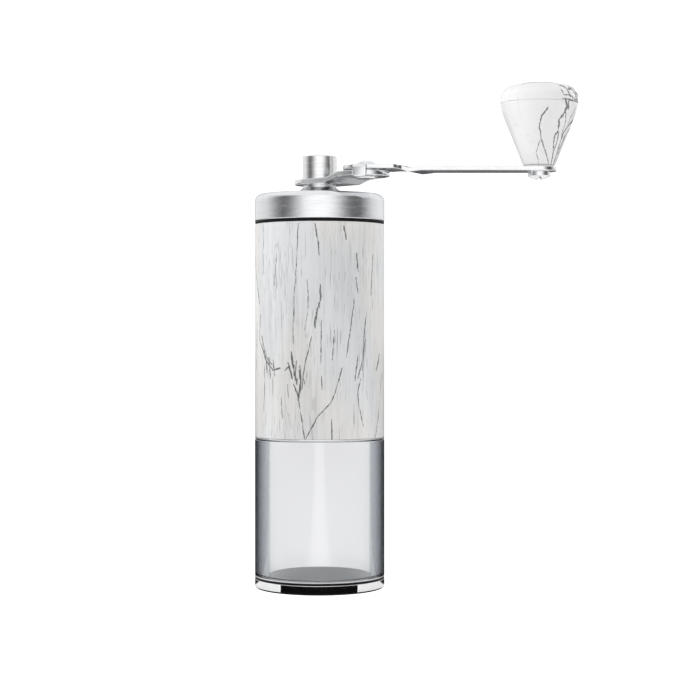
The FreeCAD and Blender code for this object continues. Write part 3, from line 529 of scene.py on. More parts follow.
def brushing_group() -> bpy.types.NodeTree:
    """Fine lines left by brushing; the place it is given is already stretched along them."""
    tree, w, given, out = new_group(
        "Brushing",
        [("Place", VECTOR, None), ("Depth", FLOAT, 0.3), ("Roughness", FLOAT, 0.3), ("Spread", FLOAT, 0.1),
         ("Metal", COLOR, (0.8, 0.8, 0.8, 1.0))],
        [("Color", COLOR), ("Roughness", FLOAT), ("Normal", VECTOR)],
    )
    place = given.outputs["Place"]
    fine = w.noise(place, 1.0, 5.0, 0.7)
    broad = w.noise(w.vector("SCALE", place, scale=0.23), 1.0, 3.0, 0.6)
    lines = w.math("ADD", w.math("MULTIPLY", fine, 0.65), w.math("MULTIPLY", broad, 0.35))
    centred = w.math("SUBTRACT", lines, 0.5)
    rough = w.math("MULTIPLY_ADD", centred, given.outputs["Spread"], given.outputs["Roughness"])
    shade = w.math("MULTIPLY_ADD", centred, 0.6, 1.0)
    bright = w.vector("SCALE", given.outputs["Metal"], scale=shade)
    bump = w.add("ShaderNodeBump")
    bump.inputs["Distance"].default_value = 0.02 * MM
    w.join(given.outputs["Depth"], bump.inputs["Strength"])
    w.join(lines, bump.inputs["Height"])
    w.join(bright, out.inputs["Color"])
    w.join(rough, out.inputs["Roughness"])
    w.join(bump.outputs["Normal"], out.inputs["Normal"])
    return tree


def edge_wear_group() -> bpy.types.NodeTree:
    """A mask of the convex edges where handling has brightened a finish."""
    tree, w, given, out = new_group(
        "Edge wear", [("Amount", FLOAT, 0.5)], [("Wear", FLOAT)]
    )
    point = w.add("ShaderNodeNewGeometry").outputs["Pointiness"]
    patchy = w.noise(w.object_place(), 420.0, 3.0)
    edge = w.band(point, 0.51, 0.56)
    wear = w.math("MULTIPLY", w.math("MULTIPLY", edge, w.band(patchy, 0.35, 0.65)), given.outputs["Amount"])
    w.join(wear, out.inputs["Wear"])
    return tree


def grain_group() -> bpy.types.NodeTree:
    """Fine moulded or fired grain: a small change of tone and a low bump."""
    tree, w, given, out = new_group(
        "Grain", [("Scale", FLOAT, 900.0), ("Depth", FLOAT, 0.2), ("Tone", COLOR, (0.5, 0.5, 0.5, 1.0)),
                  ("Change", FLOAT, 0.1)],
        [("Color", COLOR), ("Normal", VECTOR)],
    )
    place = w.object_place()
    fine = w.add("ShaderNodeTexNoise")
    w.join(place, fine.inputs["Vector"])
    w.join(given.outputs["Scale"], fine.inputs["Scale"])
    fine.inputs["Detail"].default_value = 4.0
    cloud = w.noise(place, 60.0, 3.0)
    both = w.math("ADD", w.math("MULTIPLY", fine.outputs["Fac"], 0.5), w.math("MULTIPLY", cloud, 0.5))
    shade = w.math("MULTIPLY_ADD", w.math("SUBTRACT", both, 0.5), given.outputs["Change"], 1.0)
    w.join(w.vector("SCALE", given.outputs["Tone"], scale=shade), out.inputs["Color"])
    bump = w.add("ShaderNodeBump")
    bump.inputs["Distance"].default_value = 0.03 * MM
    w.join(given.outputs["Depth"], bump.inputs["Strength"])
    w.join(fine.outputs["Fac"], bump.inputs["Height"])
    w.join(bump.outputs["Normal"], out.inputs["Normal"])
    return tree


def unrolled_group() -> bpy.types.NodeTree:
    """Unrolls a turned piece: x is the length round it from its front, y its height, in millimetres."""
    tree, w, given, out = new_group(
        "Unrolled", [("Axis", VECTOR, None), ("Radius", FLOAT, 25.0)], [("Place", VECTOR)]
    )
    place = w.vector("SUBTRACT", w.object_place(), given.outputs["Axis"])
    split = w.add("ShaderNodeSeparateXYZ")
    w.join(place, split.inputs[0])
    turn = w.math("ARCTAN2", split.outputs["X"], w.math("MULTIPLY", split.outputs["Y"], -1.0))
    around = w.math("MULTIPLY", turn, given.outputs["Radius"])
    up = w.math("MULTIPLY", split.outputs["Z"], 1000.0)
    both = w.add("ShaderNodeCombineXYZ")
    w.join(around, both.inputs["X"])
    w.join(up, both.inputs["Y"])
    w.join(both.outputs[0], out.inputs["Place"])
    return tree


def stroke_group() -> bpy.types.NodeTree:
    """One tapering stroke of a vein between two unrolled places."""
    tree, w, given, out = new_group(
        "Vein stroke",
        [("Place", VECTOR, None), ("Start", VECTOR, None), ("Run", VECTOR, None), ("Width", FLOAT, 0.5),
         ("So far", FLOAT, 0.0)],
        [("Mask", FLOAT), ("Next place", VECTOR)],
    )
    offset = w.vector("SUBTRACT", given.outputs["Place"], given.outputs["Start"])
    run = given.outputs["Run"]
    reached = w.vector("DOT_PRODUCT", offset, run)
    along = w.math("DIVIDE", reached, w.vector("DOT_PRODUCT", run, run), clamp=True)
    away = w.vector("DISTANCE", offset, w.vector("SCALE", run, scale=along))
    hump = w.math("MULTIPLY", w.math("MULTIPLY", along, w.math("SUBTRACT", 1.0, along)), 4.0)
    taper = w.math("MULTIPLY_ADD", w.math("POWER", hump, 0.7), 0.45, 0.55)
    width = w.math("MULTIPLY", taper, given.outputs["Width"])
    mask = w.math("SUBTRACT", 1.0, w.math("DIVIDE", away, width), clamp=True)
    total = w.math("MAXIMUM", mask, given.outputs["So far"])
    w.join(total, out.inputs["Mask"])
    # The next stroke waits for this one, so that a long row of strokes isn't worked out all at once.
    step = w.add("ShaderNodeCombineXYZ")
    w.join(w.math("MULTIPLY", total, 1e-6), step.inputs["Z"])
    w.join(w.vector("ADD", given.outputs["Place"], step.outputs[0]), out.inputs["Next place"])
    return tree


def veining_group() -> bpy.types.NodeTree:
    """White stone with drawn-out grey veins; takes the listed strokes as a mask."""
    tree, w, given, out = new_group(
        "Veining",
        [
            ("Strokes", FLOAT, 0.0),
            ("Background", FLOAT, 0.5),
            ("Density", FLOAT, 0.5),
            ("Dashes", FLOAT, 0.5),
        ],
        [("Color", COLOR), ("Vein", FLOAT)],
    )
    drawn = w.object_place((1.0, 1.0, 0.13))
    warp = w.add("ShaderNodeTexNoise")
    w.join(w.object_place((1.0, 1.0, 0.4)), warp.inputs["Vector"])
    warp.inputs["Scale"].default_value = 60.0
    shift = w.vector("SCALE", w.vector("SUBTRACT", warp.outputs["Color"], (0.5, 0.5, 0.5)), scale=0.007)
    place = w.vector("ADD", drawn, shift)
    veins = 0.0
    for scale, offset, width, strength in ((95.0, 0.0, 0.014, 0.7), (190.0, 3.1, 0.020, 0.5)):
        swirl = w.noise(w.vector("ADD", place, (offset, offset, offset)), scale, 1.6, 0.45)
        ridge = w.math("ABSOLUTE", w.math("SUBTRACT", swirl, 0.5))
        line = w.band(ridge, 0.0, width, 1.0, 0.0)
        gate = w.noise(w.vector("ADD", w.object_place((1.0, 1.0, 0.45)), (offset, 0.3, offset)), 70.0, 2.0)
        piece = w.math("MULTIPLY", w.math("MULTIPLY", line, w.band(gate, 0.54, 0.68)), strength)
        veins = w.math("MAXIMUM", piece, veins)
    veins = w.math("MULTIPLY", veins, given.outputs["Density"])
    dashes = 0.0
    for across, along, limit, strength in ((2100.0, 70.0, 0.66, 0.7), (3400.0, 130.0, 0.64, 0.5)):
        streak = w.noise(
            w.vector("ADD", w.object_place((across, across, along)), (limit * 90, 0.0, 0.0)), 1.0, 2.0, 0.5
        )
        gather = w.noise(w.vector("ADD", w.object_place((1.0, 1.0, 0.5)), (0.0, limit, 0.0)), 75.0, 2.0)
        gathered = w.math("MULTIPLY_ADD", gather, 0.34, w.math("SUBTRACT", streak, 0.17))
        line = w.band(gathered, limit, limit + 0.09)
        dashes = w.math("MAXIMUM", w.math("MULTIPLY", line, strength), dashes)
    veins = w.math("MAXIMUM", veins, w.math("MULTIPLY", dashes, given.outputs["Dashes"]))
    dry = w.band(w.noise(w.object_place((1.0, 1.0, 0.16)), 2600.0, 4.0, 0.7), 0.30, 0.70)
    worn = w.math("SUBTRACT", given.outputs["Strokes"], w.math("MULTIPLY", dry, 0.95))
    strokes = w.math("MULTIPLY", w.band(worn, -0.14, 0.16), w.band(given.outputs["Strokes"], 0.0, 0.2))
    vein = w.math("MAXIMUM", w.math("MULTIPLY", strokes, 0.9), veins)
    cloud = w.noise(w.object_place((1.0, 1.0, 0.3)), 48.0, 3.0, 0.5)
    streak = w.noise(w.object_place((1.0, 1.0, 0.035)), 900.0, 3.0, 0.6)
    tone = w.math("ADD", w.math("MULTIPLY", cloud, 0.6), w.math("MULTIPLY", streak, 0.4))
    tone_shift = w.noise(w.vector("ADD", w.object_place((1.0, 1.0, 0.4)), (0.4, 0.1, 0.2)), 55.0, 1.0)
    patch = w.mix(w.band(tone_shift, 0.38, 0.62), (0.94, 0.93, 0.915), (0.905, 0.918, 0.935))
    shade = w.mix(w.band(tone, 0.38, 0.62), (0.84, 0.84, 0.84), (1.0, 1.0, 1.0))
    stone = w.vector("MULTIPLY", patch, shade)
    ground = w.mix(given.outputs["Background"], (0.96, 0.96, 0.958), stone)
    w.join(w.mix(vein, ground, (0.045, 0.048, 0.052)), out.inputs["Color"])
    w.join(vein, out.inputs["Vein"])
    return tree


@dataclass
class Groups:
    """The shader node groups that the finishes share."""

    brushing: bpy.types.NodeTree = field(default_factory=brushing_group)
    wear: bpy.types.NodeTree = field(default_factory=edge_wear_group)
    grain: bpy.types.NodeTree = field(default_factory=grain_group)
    unrolled: bpy.types.NodeTree = field(default_factory=unrolled_group)
    stroke: bpy.types.NodeTree = field(default_factory=stroke_group)
    veining: bpy.types.NodeTree = field(default_factory=veining_group)


def start_material(name: str) -> tuple[bpy.types.Material, Wiring, bpy.types.Node]:
    """Starts a material and gives its wiring and its Principled shader."""
    material = bpy.data.materials.new(name)
    material.use_nodes = True
    shader = next(node for node in material.node_tree.nodes if node.type == "BSDF_PRINCIPLED")
    return material, Wiring(material.node_tree), shader


# ------------------------------------------------------------------ finishes
class Lay(Enum):
    """Which way a metal is brushed: the stretch of its pattern along x, y and z per metre."""

    ROUND = (260.0, 260.0, 2400.0)
    ALONG = (60.0, 2600.0, 2600.0)
    SATIN = (1400.0, 1400.0, 1400.0)


@dataclass(frozen=True)
class Metal:
    """A metal with a brushed, satin or polished surface."""

    name: str
    color: tuple[float, float, float]
    roughness: float
    lay: Lay = Lay.SATIN
    depth: float = 0.25
    spread: float = 0.15
    anisotropic: float = 0.0
    wear: float = 0.3

    def make(self, groups: Groups) -> bpy.types.Material:
        """Builds the material."""
        material, w, shader = start_material(self.name)
        lines = w.group(
            groups.brushing, Place=w.object_place(self.lay.value), Depth=self.depth,
            Roughness=self.roughness, Spread=self.spread, Metal=(*self.color, 1.0),
        )
        wear = w.group(groups.wear, Amount=self.wear).outputs["Wear"]
        bright = tuple(min(1.0, value * 1.12) for value in self.color)
        w.join(w.mix(wear, lines.outputs["Color"], bright), shader.inputs["Base Color"])
        w.join(lines.outputs["Roughness"], shader.inputs["Roughness"])
        w.join(lines.outputs["Normal"], shader.inputs["Normal"])
        shader.inputs["Metallic"].default_value = 1.0
        shader.inputs["Anisotropic"].default_value = self.anisotropic
        if self.anisotropic:
            tangent = w.add("ShaderNodeTangent")
            tangent.direction_type = "RADIAL"
            tangent.axis = "Z"
            w.join(tangent.outputs[0], shader.inputs["Tangent"])
        return material


@dataclass(frozen=True)
class Moulded:
    """Rubber, nylon or ceramic: a plain body colour with grain and a little sheen."""

    name: str
    color: tuple[float, float, float]
    roughness: float
    grain: float = 900.0
    depth: float = 0.2
    change: float = 0.15
    coat: float = 0.0
    gloss: float = 0.5

    def make(self, groups: Groups) -> bpy.types.Material:
        """Builds the material."""
        material, w, shader = start_material(self.name)
        grain = w.group(
            groups.grain, Scale=self.grain, Depth=self.depth, Tone=(*self.color, 1.0), Change=self.change
        )
        wear = w.group(groups.wear, Amount=0.35).outputs["Wear"]
        lighter = tuple(min(1.0, value * 1.3 + 0.02) for value in self.color)
        w.join(w.mix(wear, grain.outputs["Color"], lighter), shader.inputs["Base Color"])
        w.join(grain.outputs["Normal"], shader.inputs["Normal"])
        shader.inputs["Roughness"].default_value = self.roughness
        shader.inputs["Coat Weight"].default_value = self.coat
        shader.inputs["Specular IOR Level"].default_value = self.gloss
        return material


@dataclass(frozen=True)
class Acrylic:
    """Thick clear acrylic with painted shade that darkens it where it is seen on edge, and frosted below the
    height of its lip.
    """

    name: str = "clear acrylic"
    lip: float = 0.0
    lip_fade: float = 0.02 * MM
    frosting: float = 0.92
    bore: float = 21.4 * MM
    wall: float = 21.6 * MM
    ior: float = 1.49

    def make(self, groups: Groups) -> bpy.types.Material:
        """Builds the material."""
        material, w, shader = start_material(self.name)
        # Painted shade: the colour darkens as the surface turns away from the view (Layer Weight). These
        # painted dark edges stand in for dark surroundings seen through thick acrylic on edge.
        facing = w.add("ShaderNodeLayerWeight")
        facing.inputs["Blend"].default_value = 0.5
        tone_shift = w.add("ShaderNodeValToRGB")
        ramp = tone_shift.color_ramp
        stops = ((0.0, (0.97, 0.972, 0.98)), (0.25, (0.93, 0.935, 0.945)), (0.345, (0.80, 0.82, 0.85)),
                 (0.385, (0.34, 0.37, 0.40)), (0.49, (0.19, 0.21, 0.245)), (0.60, (0.075, 0.085, 0.10)),
                 (0.70, (0.012, 0.014, 0.018)), (0.85, (0.004, 0.004, 0.004)))
        while len(ramp.elements) < len(stops):
            ramp.elements.new(0.5)
        for element, (place, color) in zip(ramp.elements, stops):
            element.position = place
            element.color = (*color, 1.0)
        w.join(facing.outputs["Facing"], tone_shift.inputs["Fac"])
        # The painted edge shade is kept to faces that stand out past the bore; the bore stays plain clear.
        flat = w.vector("LENGTH", w.object_place((1.0, 1.0, 0.0)))
        outside = w.band(flat, self.bore, self.wall)
        clear = w.mix(outside, (0.975, 0.978, 0.985), tone_shift.outputs["Color"])
        split = w.add("ShaderNodeSeparateXYZ")
        w.join(w.object_place(), split.inputs[0])
        below = w.band(split.outputs["Z"], self.lip - self.lip_fade, self.lip + self.lip_fade, 1.0, 0.0)
        lip = w.math("MULTIPLY", below, self.frosting)
        w.join(w.mix(lip, clear, (0.95, 0.95, 0.95)), shader.inputs["Base Color"])
        scuffs = w.band(w.noise(w.object_place((1.0, 1.0, 0.3)), 900.0, 4.0, 0.7), 0.4, 0.8, 0.0, 0.05)
        w.join(scuffs, shader.inputs["Roughness"])
        w.join(w.math("SUBTRACT", 1.0, lip), shader.inputs["Transmission Weight"])
        shader.inputs["IOR"].default_value = self.ior
        return material


@dataclass(frozen=True)
class Vein:
    """A vein: points as (degrees round from the front, height in mm), and its width."""

    points: tuple[tuple[float, float], ...]
    width: float


@dataclass(frozen=True)
class MarblePrint:
    """Glossy print of white stone with drawn-out grey veins."""

    name: str
    axis: tuple[float, float]
    radius: float
    veins: tuple[Vein, ...]
    density: float = 0.5
    dashes: float = 0.5
    tones: float = 1.0

    def make(self, groups: Groups) -> bpy.types.Material:
        """Builds the material."""
        material, w, shader = start_material(self.name)
        place = w.group(groups.unrolled, Axis=(*self.axis, 0.0), Radius=self.radius).outputs["Place"]
        wobble = w.add("ShaderNodeTexNoise")
        w.join(w.object_place((1.0, 1.0, 0.35)), wobble.inputs["Vector"])
        wobble.inputs["Scale"].default_value = 230.0
        wobble.inputs["Detail"].default_value = 4.0
        centred = w.vector("SUBTRACT", wobble.outputs["Color"], (0.5, 0.5, 0.5))
        offset = w.vector("MULTIPLY", centred, (1.6, 0.8, 0.0))
        place = w.vector("ADD", place, offset)
        mask: object = 0.0
        for vein in self.veins:
            for start, end in zip(vein.points, vein.points[1:]):
                first = Vector((math.radians(start[0]) * self.radius, start[1], 0.0))
                last = Vector((math.radians(end[0]) * self.radius, end[1], 0.0))
                stroke = w.group(
                    groups.stroke, Place=place, Start=tuple(first), Run=tuple(last - first), Width=vein.width,
                    So_far=mask,
                )
                mask = stroke.outputs["Mask"]
                place = stroke.outputs["Next place"]
        facing = w.add("ShaderNodeSeparateXYZ")
        w.join(w.add("ShaderNodeNewGeometry").outputs["Normal"], facing.inputs[0])
        top = w.band(facing.outputs["Z"], 0.60, 0.85)
        sides = w.math("MULTIPLY", mask, w.math("SUBTRACT", 1.0, top))
        density = w.math("MULTIPLY_ADD", top, 0.6, self.density)
        stone = w.group(
            groups.veining, Strokes=sides, Background=self.tones, Density=density, Dashes=self.dashes
        )
        w.join(stone.outputs["Color"], shader.inputs["Base Color"])
        w.join(w.band(stone.outputs["Vein"], 0.0, 1.0, 0.30, 0.38), shader.inputs["Roughness"])
        shader.inputs["Coat Weight"].default_value = 0.25
        shader.inputs["Coat Roughness"].default_value = 0.08
        return material


SLEEVE_VEINS = (
    Vein(((-57, 139), (-58, 128), (-57, 120)), 0.27),
    Vein(((-84, 130), (-71, 117), (-65, 109)), 0.54),
    Vein(((-63, 105), (-65, 96), (-56, 90), (-45, 86)), 0.44),
    Vein(((-56, 86), (-55, 80), (-57, 68)), 0.34),
    Vein(((-17, 139), (-19, 127), (-22, 107), (-22, 94)), 0.27),
    Vein(((-3, 139), (-1, 133), (0, 127)), 0.41),
    Vein(((2, 116), (1, 110), (-2, 106), (-3, 100)), 0.58),
    Vein(((-9, 118), (-9, 107), (-12, 99)), 0.24),
    Vein(((2, 103), (2, 87)), 0.27),
    Vein(((-6, 97), (-9, 92), (-12, 87), (-15, 77)), 0.37),
    Vein(((-19, 77), (-16, 69), (-12, 58)), 0.37),
    Vein(((20, 85), (15, 77), (10, 72), (-1, 67), (-12, 58)), 0.41),
    Vein(((34, 128), (36, 121)), 0.54),
    Vein(((34, 119), (36, 113)), 0.41),
    Vein(((32, 111), (29, 101), (25, 89)), 0.34),
    Vein(((46, 106), (42, 94), (41, 89), (36, 81)), 0.34),
    Vein(((39, 81), (36, 76), (37, 71), (42, 63)), 0.37),
    Vein(((73, 83), (67, 74), (59, 58)), 0.37),
    Vein(((22, 138), (24, 133)), 0.54),
    Vein(((11, 66), (11, 57)), 0.34),
    Vein(((66, 90), (60, 84)), 0.61),
    Vein(((3, 82), (3, 77)), 0.34),
    Vein(((150, 139), (158, 118), (152, 96), (160, 72), (156, 58)), 0.48),
    Vein(((-150, 132), (-141, 110), (-146, 90)), 0.41),
    Vein(((-118, 92), (-108, 76), (-112, 58)), 0.48),
    Vein(((104, 136), (110, 118), (101, 102)), 0.34),
    Vein(((-60, 97), (-54, 88), (-44, 84), (-36, 85)), 0.55),
    Vein(((-54, 92), (-52, 83)), 0.45),
    Vein(((-49, 89), (-47, 81)), 0.5),
    Vein(((-44, 88), (-42, 82)), 0.4),
    Vein(((-31, 84), (-25, 86)), 0.45),
    Vein(((-27, 87), (-23, 81)), 0.55),
    Vein(((-24, 91), (-22, 84), (-19, 79)), 0.7),
    Vein(((-20, 88), (-21, 82)), 0.4),
    Vein(((-17, 86), (-16, 80), (-18, 73)), 0.65),
    Vein(((-22, 79), (-18, 75)), 0.35),
    Vein(((-14, 82), (-12, 79)), 0.4),
    Vein(((-28, 79), (-27, 74)), 0.3),
    Vein(((44, 96), (40, 84)), 0.4),
    Vein(((36, 90), (33, 80)), 0.4),
    Vein(((-40, 128), (-42, 116)), 0.3),
    Vein(((14, 99), (12, 88)), 0.35),
    Vein(((55, 128), (52, 112)), 0.35),
    Vein(((-72, 102), (-74, 84)), 0.45),
    Vein(((-34, 74), (-33, 66)), 0.3),
)

KNOB_VEINS = (
    Vein(((21, 192), (30, 189.6), (35, 190), (44, 188.2), (52, 188.9), (60, 187.2), (88, 188)), 0.75),
    Vein(((28, 188.2), (33, 186), (47, 186.2), (58, 184.9), (88, 185.6)), 0.5),
    Vein(((62, 190.4), (74, 186.6)), 1.9),
    Vein(((50, 190.6), (56, 188.4)), 1.0),
    Vein(((41, 188), (47, 185.4)), 0.7),
    Vein(((61, 187.4), (64, 184.6)), 0.9),
    Vein(((30, 184.6), (60, 184.4), (88, 184.6)), 0.5),
    Vein(((36, 184.4), (41, 182), (37, 179.5), (30, 177), (33, 174)), 0.9),
    Vein(((43, 184.2), (45, 181)), 0.8),
    Vein(((34, 173.4), (29, 171.5), (31, 168), (37, 164.5), (42, 161)), 0.8),
    Vein(((30, 172.2), (37, 173), (39, 170), (37, 166)), 0.6),
    Vein(((80, 178), (66, 176.5), (52, 173), (51, 169), (52, 165), (56, 160.5)), 0.95),
    Vein(((86, 176), (67, 173), (59, 168), (57, 164)), 0.6),
    Vein(((60, 172), (62, 167), (64, 162)), 0.5),
    Vein(((7, 181.5), (-2, 178), (-5, 174.5), (-2, 170.5), (6, 167), (19, 163.5), (32, 160.5)), 0.5),
    Vein(((-3, 170), (-14, 165.5), (-8, 161)), 0.4),
    Vein(((40, 180), (48, 176), (46, 172)), 0.4),
    Vein(((70, 183), (62, 180), (57, 176)), 0.4),
    Vein(((118, 190), (126, 182), (120, 172), (128, 163)), 0.81),
    Vein(((150, 186), (160, 178), (152, 168)), 0.54),
    Vein(((-120, 188), (-132, 178), (-126, 166)), 0.54),
)


class Finishes:
    """Every material of the grinder, made once."""

    def __init__(self, groups: Groups) -> None:
        """Builds the materials."""
        knob = Span.of("knob_body")
        body = Span.of("marble_sleeve")
        self.lid = Metal(
            "brushed aluminium", (0.80, 0.81, 0.83), roughness=0.24, lay=Lay.ROUND,
            depth=0.45, spread=0.25, wear=0.5,
        ).make(groups)
        self.nut = Metal(
            "turned steel", (0.82, 0.82, 0.83), roughness=0.23, lay=Lay.ROUND,
            depth=0.3, spread=0.2, wear=0.5,
        ).make(groups)
        self.pressed = Metal(
            "pressed steel", (0.78, 0.79, 0.80), roughness=0.13, lay=Lay.SATIN,
            depth=0.06, spread=0.1, wear=0.6,
        ).make(groups)
        self.polished = Metal(
            "polished steel", (0.90, 0.905, 0.91), roughness=0.05, lay=Lay.SATIN,
            depth=0.03, spread=0.03, wear=0.2,
        ).make(groups)
        self.disc = Metal(
            "brushed disc", (0.42, 0.44, 0.45), roughness=0.34, lay=Lay.ALONG,
            depth=0.4, spread=0.2, anisotropic=0.85, wear=0.2,
        ).make(groups)
        self.tube = Metal(
            "drawn steel", (0.80, 0.80, 0.80), roughness=0.25, lay=Lay.ROUND,
            depth=0.3, spread=0.15, anisotropic=0.3, wear=0.3,
        ).make(groups)
        self.satin = Metal(
            "satin steel", (0.72, 0.73, 0.74), roughness=0.32, lay=Lay.ROUND,
            depth=0.3, spread=0.2, anisotropic=0.3, wear=0.3,
        ).make(groups)
        self.dark = Metal(
            "dark steel", (0.20, 0.21, 0.22), roughness=0.38, lay=Lay.ALONG,
            depth=0.3, spread=0.2, wear=0.2,
        ).make(groups)
        self.bronze = Metal(
            "bronze", (0.70, 0.48, 0.25), roughness=0.33, lay=Lay.ROUND,
            depth=0.3, spread=0.2, anisotropic=0.2, wear=0.3,
        ).make(groups)
        self.spring = Metal(
            "spring wire", (0.58, 0.59, 0.60), roughness=0.28, lay=Lay.SATIN,
            depth=0.2, spread=0.2, wear=0.2,
        ).make(groups)
        self.rubber = Moulded(
            "black rubber", (0.008, 0.008, 0.009), roughness=0.5,
            grain=1500.0, depth=0.25, change=0.3, gloss=0.12,
        ).make(groups)
        self.nylon = Moulded(
            "black nylon", (0.035, 0.036, 0.038), roughness=0.48,
            grain=1100.0, depth=0.3, change=0.25,
        ).make(groups)
        self.natural = Moulded(
            "natural nylon", (0.82, 0.81, 0.78), roughness=0.45,
            grain=1100.0, depth=0.2, change=0.1,
        ).make(groups)
        self.grey = Moulded(
            "grey nylon", (0.30, 0.31, 0.32), roughness=0.45,
            grain=1100.0, depth=0.3, change=0.2,
        ).make(groups)
        self.ceramic = Moulded(
            "white ceramic", (0.80, 0.79, 0.75), roughness=0.42,
            grain=700.0, depth=0.35, change=0.1, coat=0.1,
        ).make(groups)
        self.acrylic = Acrylic(lip=Span.of("clear_cup").low + 0.5 * MM).make(groups)
        self.sleeve = MarblePrint(
            "marble print", (body.x, body.y), body.radius / MM, SLEEVE_VEINS, density=0.45, dashes=0.9
        ).make(groups)
        self.knob = MarblePrint(
            "marble print on the knob", (knob.x, knob.y), knob.radius / MM, KNOB_VEINS,
            density=0.15, dashes=0.1, tones=0.12,
        ).make(groups)


# ------------------------------------------------------------------ putting pieces in the frame
def corners(*rows: tuple[float, ...], turn: bool = True) -> list[tuple[float, float]]:
    """A rounded outline from rows of (radius, height, rounding), all in millimetres."""
    return rounded_outline([Corner(*(value * MM for value in row)) for row in rows], closed=turn)


def fit(piece: bpy.types.Object, body: str, slot: str, material: bpy.types.Material, *nodes: str) -> None:
    """Gives a piece its finish and its place in the frame.

    Args:
        piece: the finished piece.
        body: the frame's body that it moves with.
        slot: the record's material slot; not used.
        material: the finish.
        nodes: the frame's nodes that it stands for.
    """
    piece.data.materials.clear()
    piece.data.materials.append(material)
    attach(piece, body)
    if nodes:
        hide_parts(*nodes)
    LOG.info("%s rides on %s with %d faces", piece.name, body, len(piece.data.polygons))


def keep(material: bpy.types.Material, *nodes: str) -> None:
    """Gives a finish to frame nodes whose own shape is kept."""
    for node in nodes:
        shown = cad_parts[node]
        for place in shown.material_slots:
            place.material = material
        LOG.info("%s keeps its own shape", node)


def cleaned(mesh: bpy.types.Mesh, angle: float = 32.0) -> bpy.types.Mesh:
    """Joins doubled points, turns faces outwards and shades the mesh."""
    work = bmesh.new()
    work.from_mesh(mesh)
    bmesh.ops.remove_doubles(work, verts=work.verts, dist=1e-6)
    bmesh.ops.recalc_face_normals(work, faces=work.faces)
    work.to_mesh(mesh)
    work.free()
    smooth(mesh, angle)
    return mesh


# ------------------------------------------------------------------ the lower part
@dataclass
class Cup:
    """The clear cup with its foot, seal, floor disc and O-ring; sizes in millimetres."""

    foot_chamfer: float = 0.62
    foot_radius: float = 25.0
    spigot: float = 19.8
    bore: float = 19.9
    neck: float = 22.45
    shoulder: float = 57.3
    groove: tuple[float, float, float] = (21.2, 61.2, 62.8)
    soft_edge: float = 0.35

    def build(self, finishes: Finishes) -> None:
        """Makes the pieces that slide off together."""
        foot = Span.of("foot_cap")
        seal = Span.of("base_seal_ring")
        disc = Span.of("cup_floor_disc")
        wall = Span.of("clear_cup")
        foot_top = seal.low / MM
        outline = corners(
            (0, 0), (self.foot_radius - self.foot_chamfer, 0, 0.15),
            (self.foot_radius, self.foot_chamfer, 0.25), (self.foot_radius, foot_top, 0.15),
            (self.spigot, foot_top), (self.spigot, foot.high / MM, 0.15), (0, foot.high / MM), turn=False,
        )
        fit(turned_piece("foot", outline, closed=False), "cup", "polished_steel",
            finishes.polished, "foot_cap")
        outline = corners(
            (20.2, seal.low / MM), (24.9, seal.low / MM, 0.15), (24.9, seal.high / MM - 0.04, 0.15),
            (20.2, seal.high / MM - 0.04),
        )
        fit(turned_piece("base_seal", outline), "cup", "black_rubber", finishes.rubber, "base_seal_ring")
        top = disc.high / MM
        edge = disc.radius / MM
        outline = corners(
            (0, disc.low / MM), (edge, disc.low / MM), (edge, top, 0.25), (edge - 1.2, top, 0.1),
            (edge - 1.4, top - 0.12, 0.1), (0, top - 0.12), turn=False,
        )
        fit(turned_piece("floor_disc", outline, closed=False), "cup", "dark_steel", finishes.disc,
            "cup_floor_disc")
        outer = wall.radius / MM
        low = wall.low / MM
        high = wall.high / MM
        floor, groove_low, groove_high = self.groove
        outline = corners(
            (self.bore, low, 0.1), (outer, low, self.soft_edge), (outer, self.shoulder, self.soft_edge),
            (self.neck, self.shoulder, 0.15), (self.neck, groove_low, 0.1), (floor, groove_low, 0.1),
            (floor, groove_high, 0.1), (self.neck, groove_high, 0.1), (self.neck, high, 0.35),
            (self.bore, high, 0.3),
        )
        fit(turned_piece("clear_cup_wall", outline), "cup", "clear_acrylic", finishes.acrylic, "clear_cup")
        keep(finishes.rubber, "cup_o_ring")


@dataclass
class Body:
    """The steel tube in its marble-print sleeve, with the bridge and the outer burr's carrier."""

    sleeve_inner: float = 23.75
    tube_inner: float = 22.8
    tube_outer: float = 23.7
    flange_top: float = 58.2
    soft_edge: float = 0.35

    def build(self, finishes: Finishes, groups: Groups) -> None:
        """Makes the fixed pieces."""
        sleeve = Span.of("marble_sleeve")
        tube = Span.of("body_tube")
        outer = sleeve.radius / MM
        outline = corners(
            (self.sleeve_inner, sleeve.low / MM), (outer, sleeve.low / MM, self.soft_edge),
            (outer, sleeve.high / MM, self.soft_edge), (self.sleeve_inner, sleeve.high / MM),
        )
        fit(turned_piece("sleeve", outline), "body", "marble_print", finishes.sleeve, "marble_sleeve")
        outline = corners(
            (self.tube_inner, tube.low / MM, 0.1), (outer, tube.low / MM, 0.2),
            (outer, self.flange_top, 0.12),
            (self.tube_outer, self.flange_top), (self.tube_outer, tube.high / MM, 0.2),
            (self.tube_inner, tube.high / MM, 0.2),
        )
        fit(turned_piece("steel_tube", outline), "body", "satin_steel", finishes.tube, "body_tube")
        keep(finishes.nylon, "upper_bridge", "burr_housing")
        keep(finishes.bronze, "upper_bushing", "lower_bushing")
        keep(finishes.ceramic, "outer_burr")
        keep(finishes.satin, "burr_retaining_ring")
        RingScrews().build(finishes, groups)


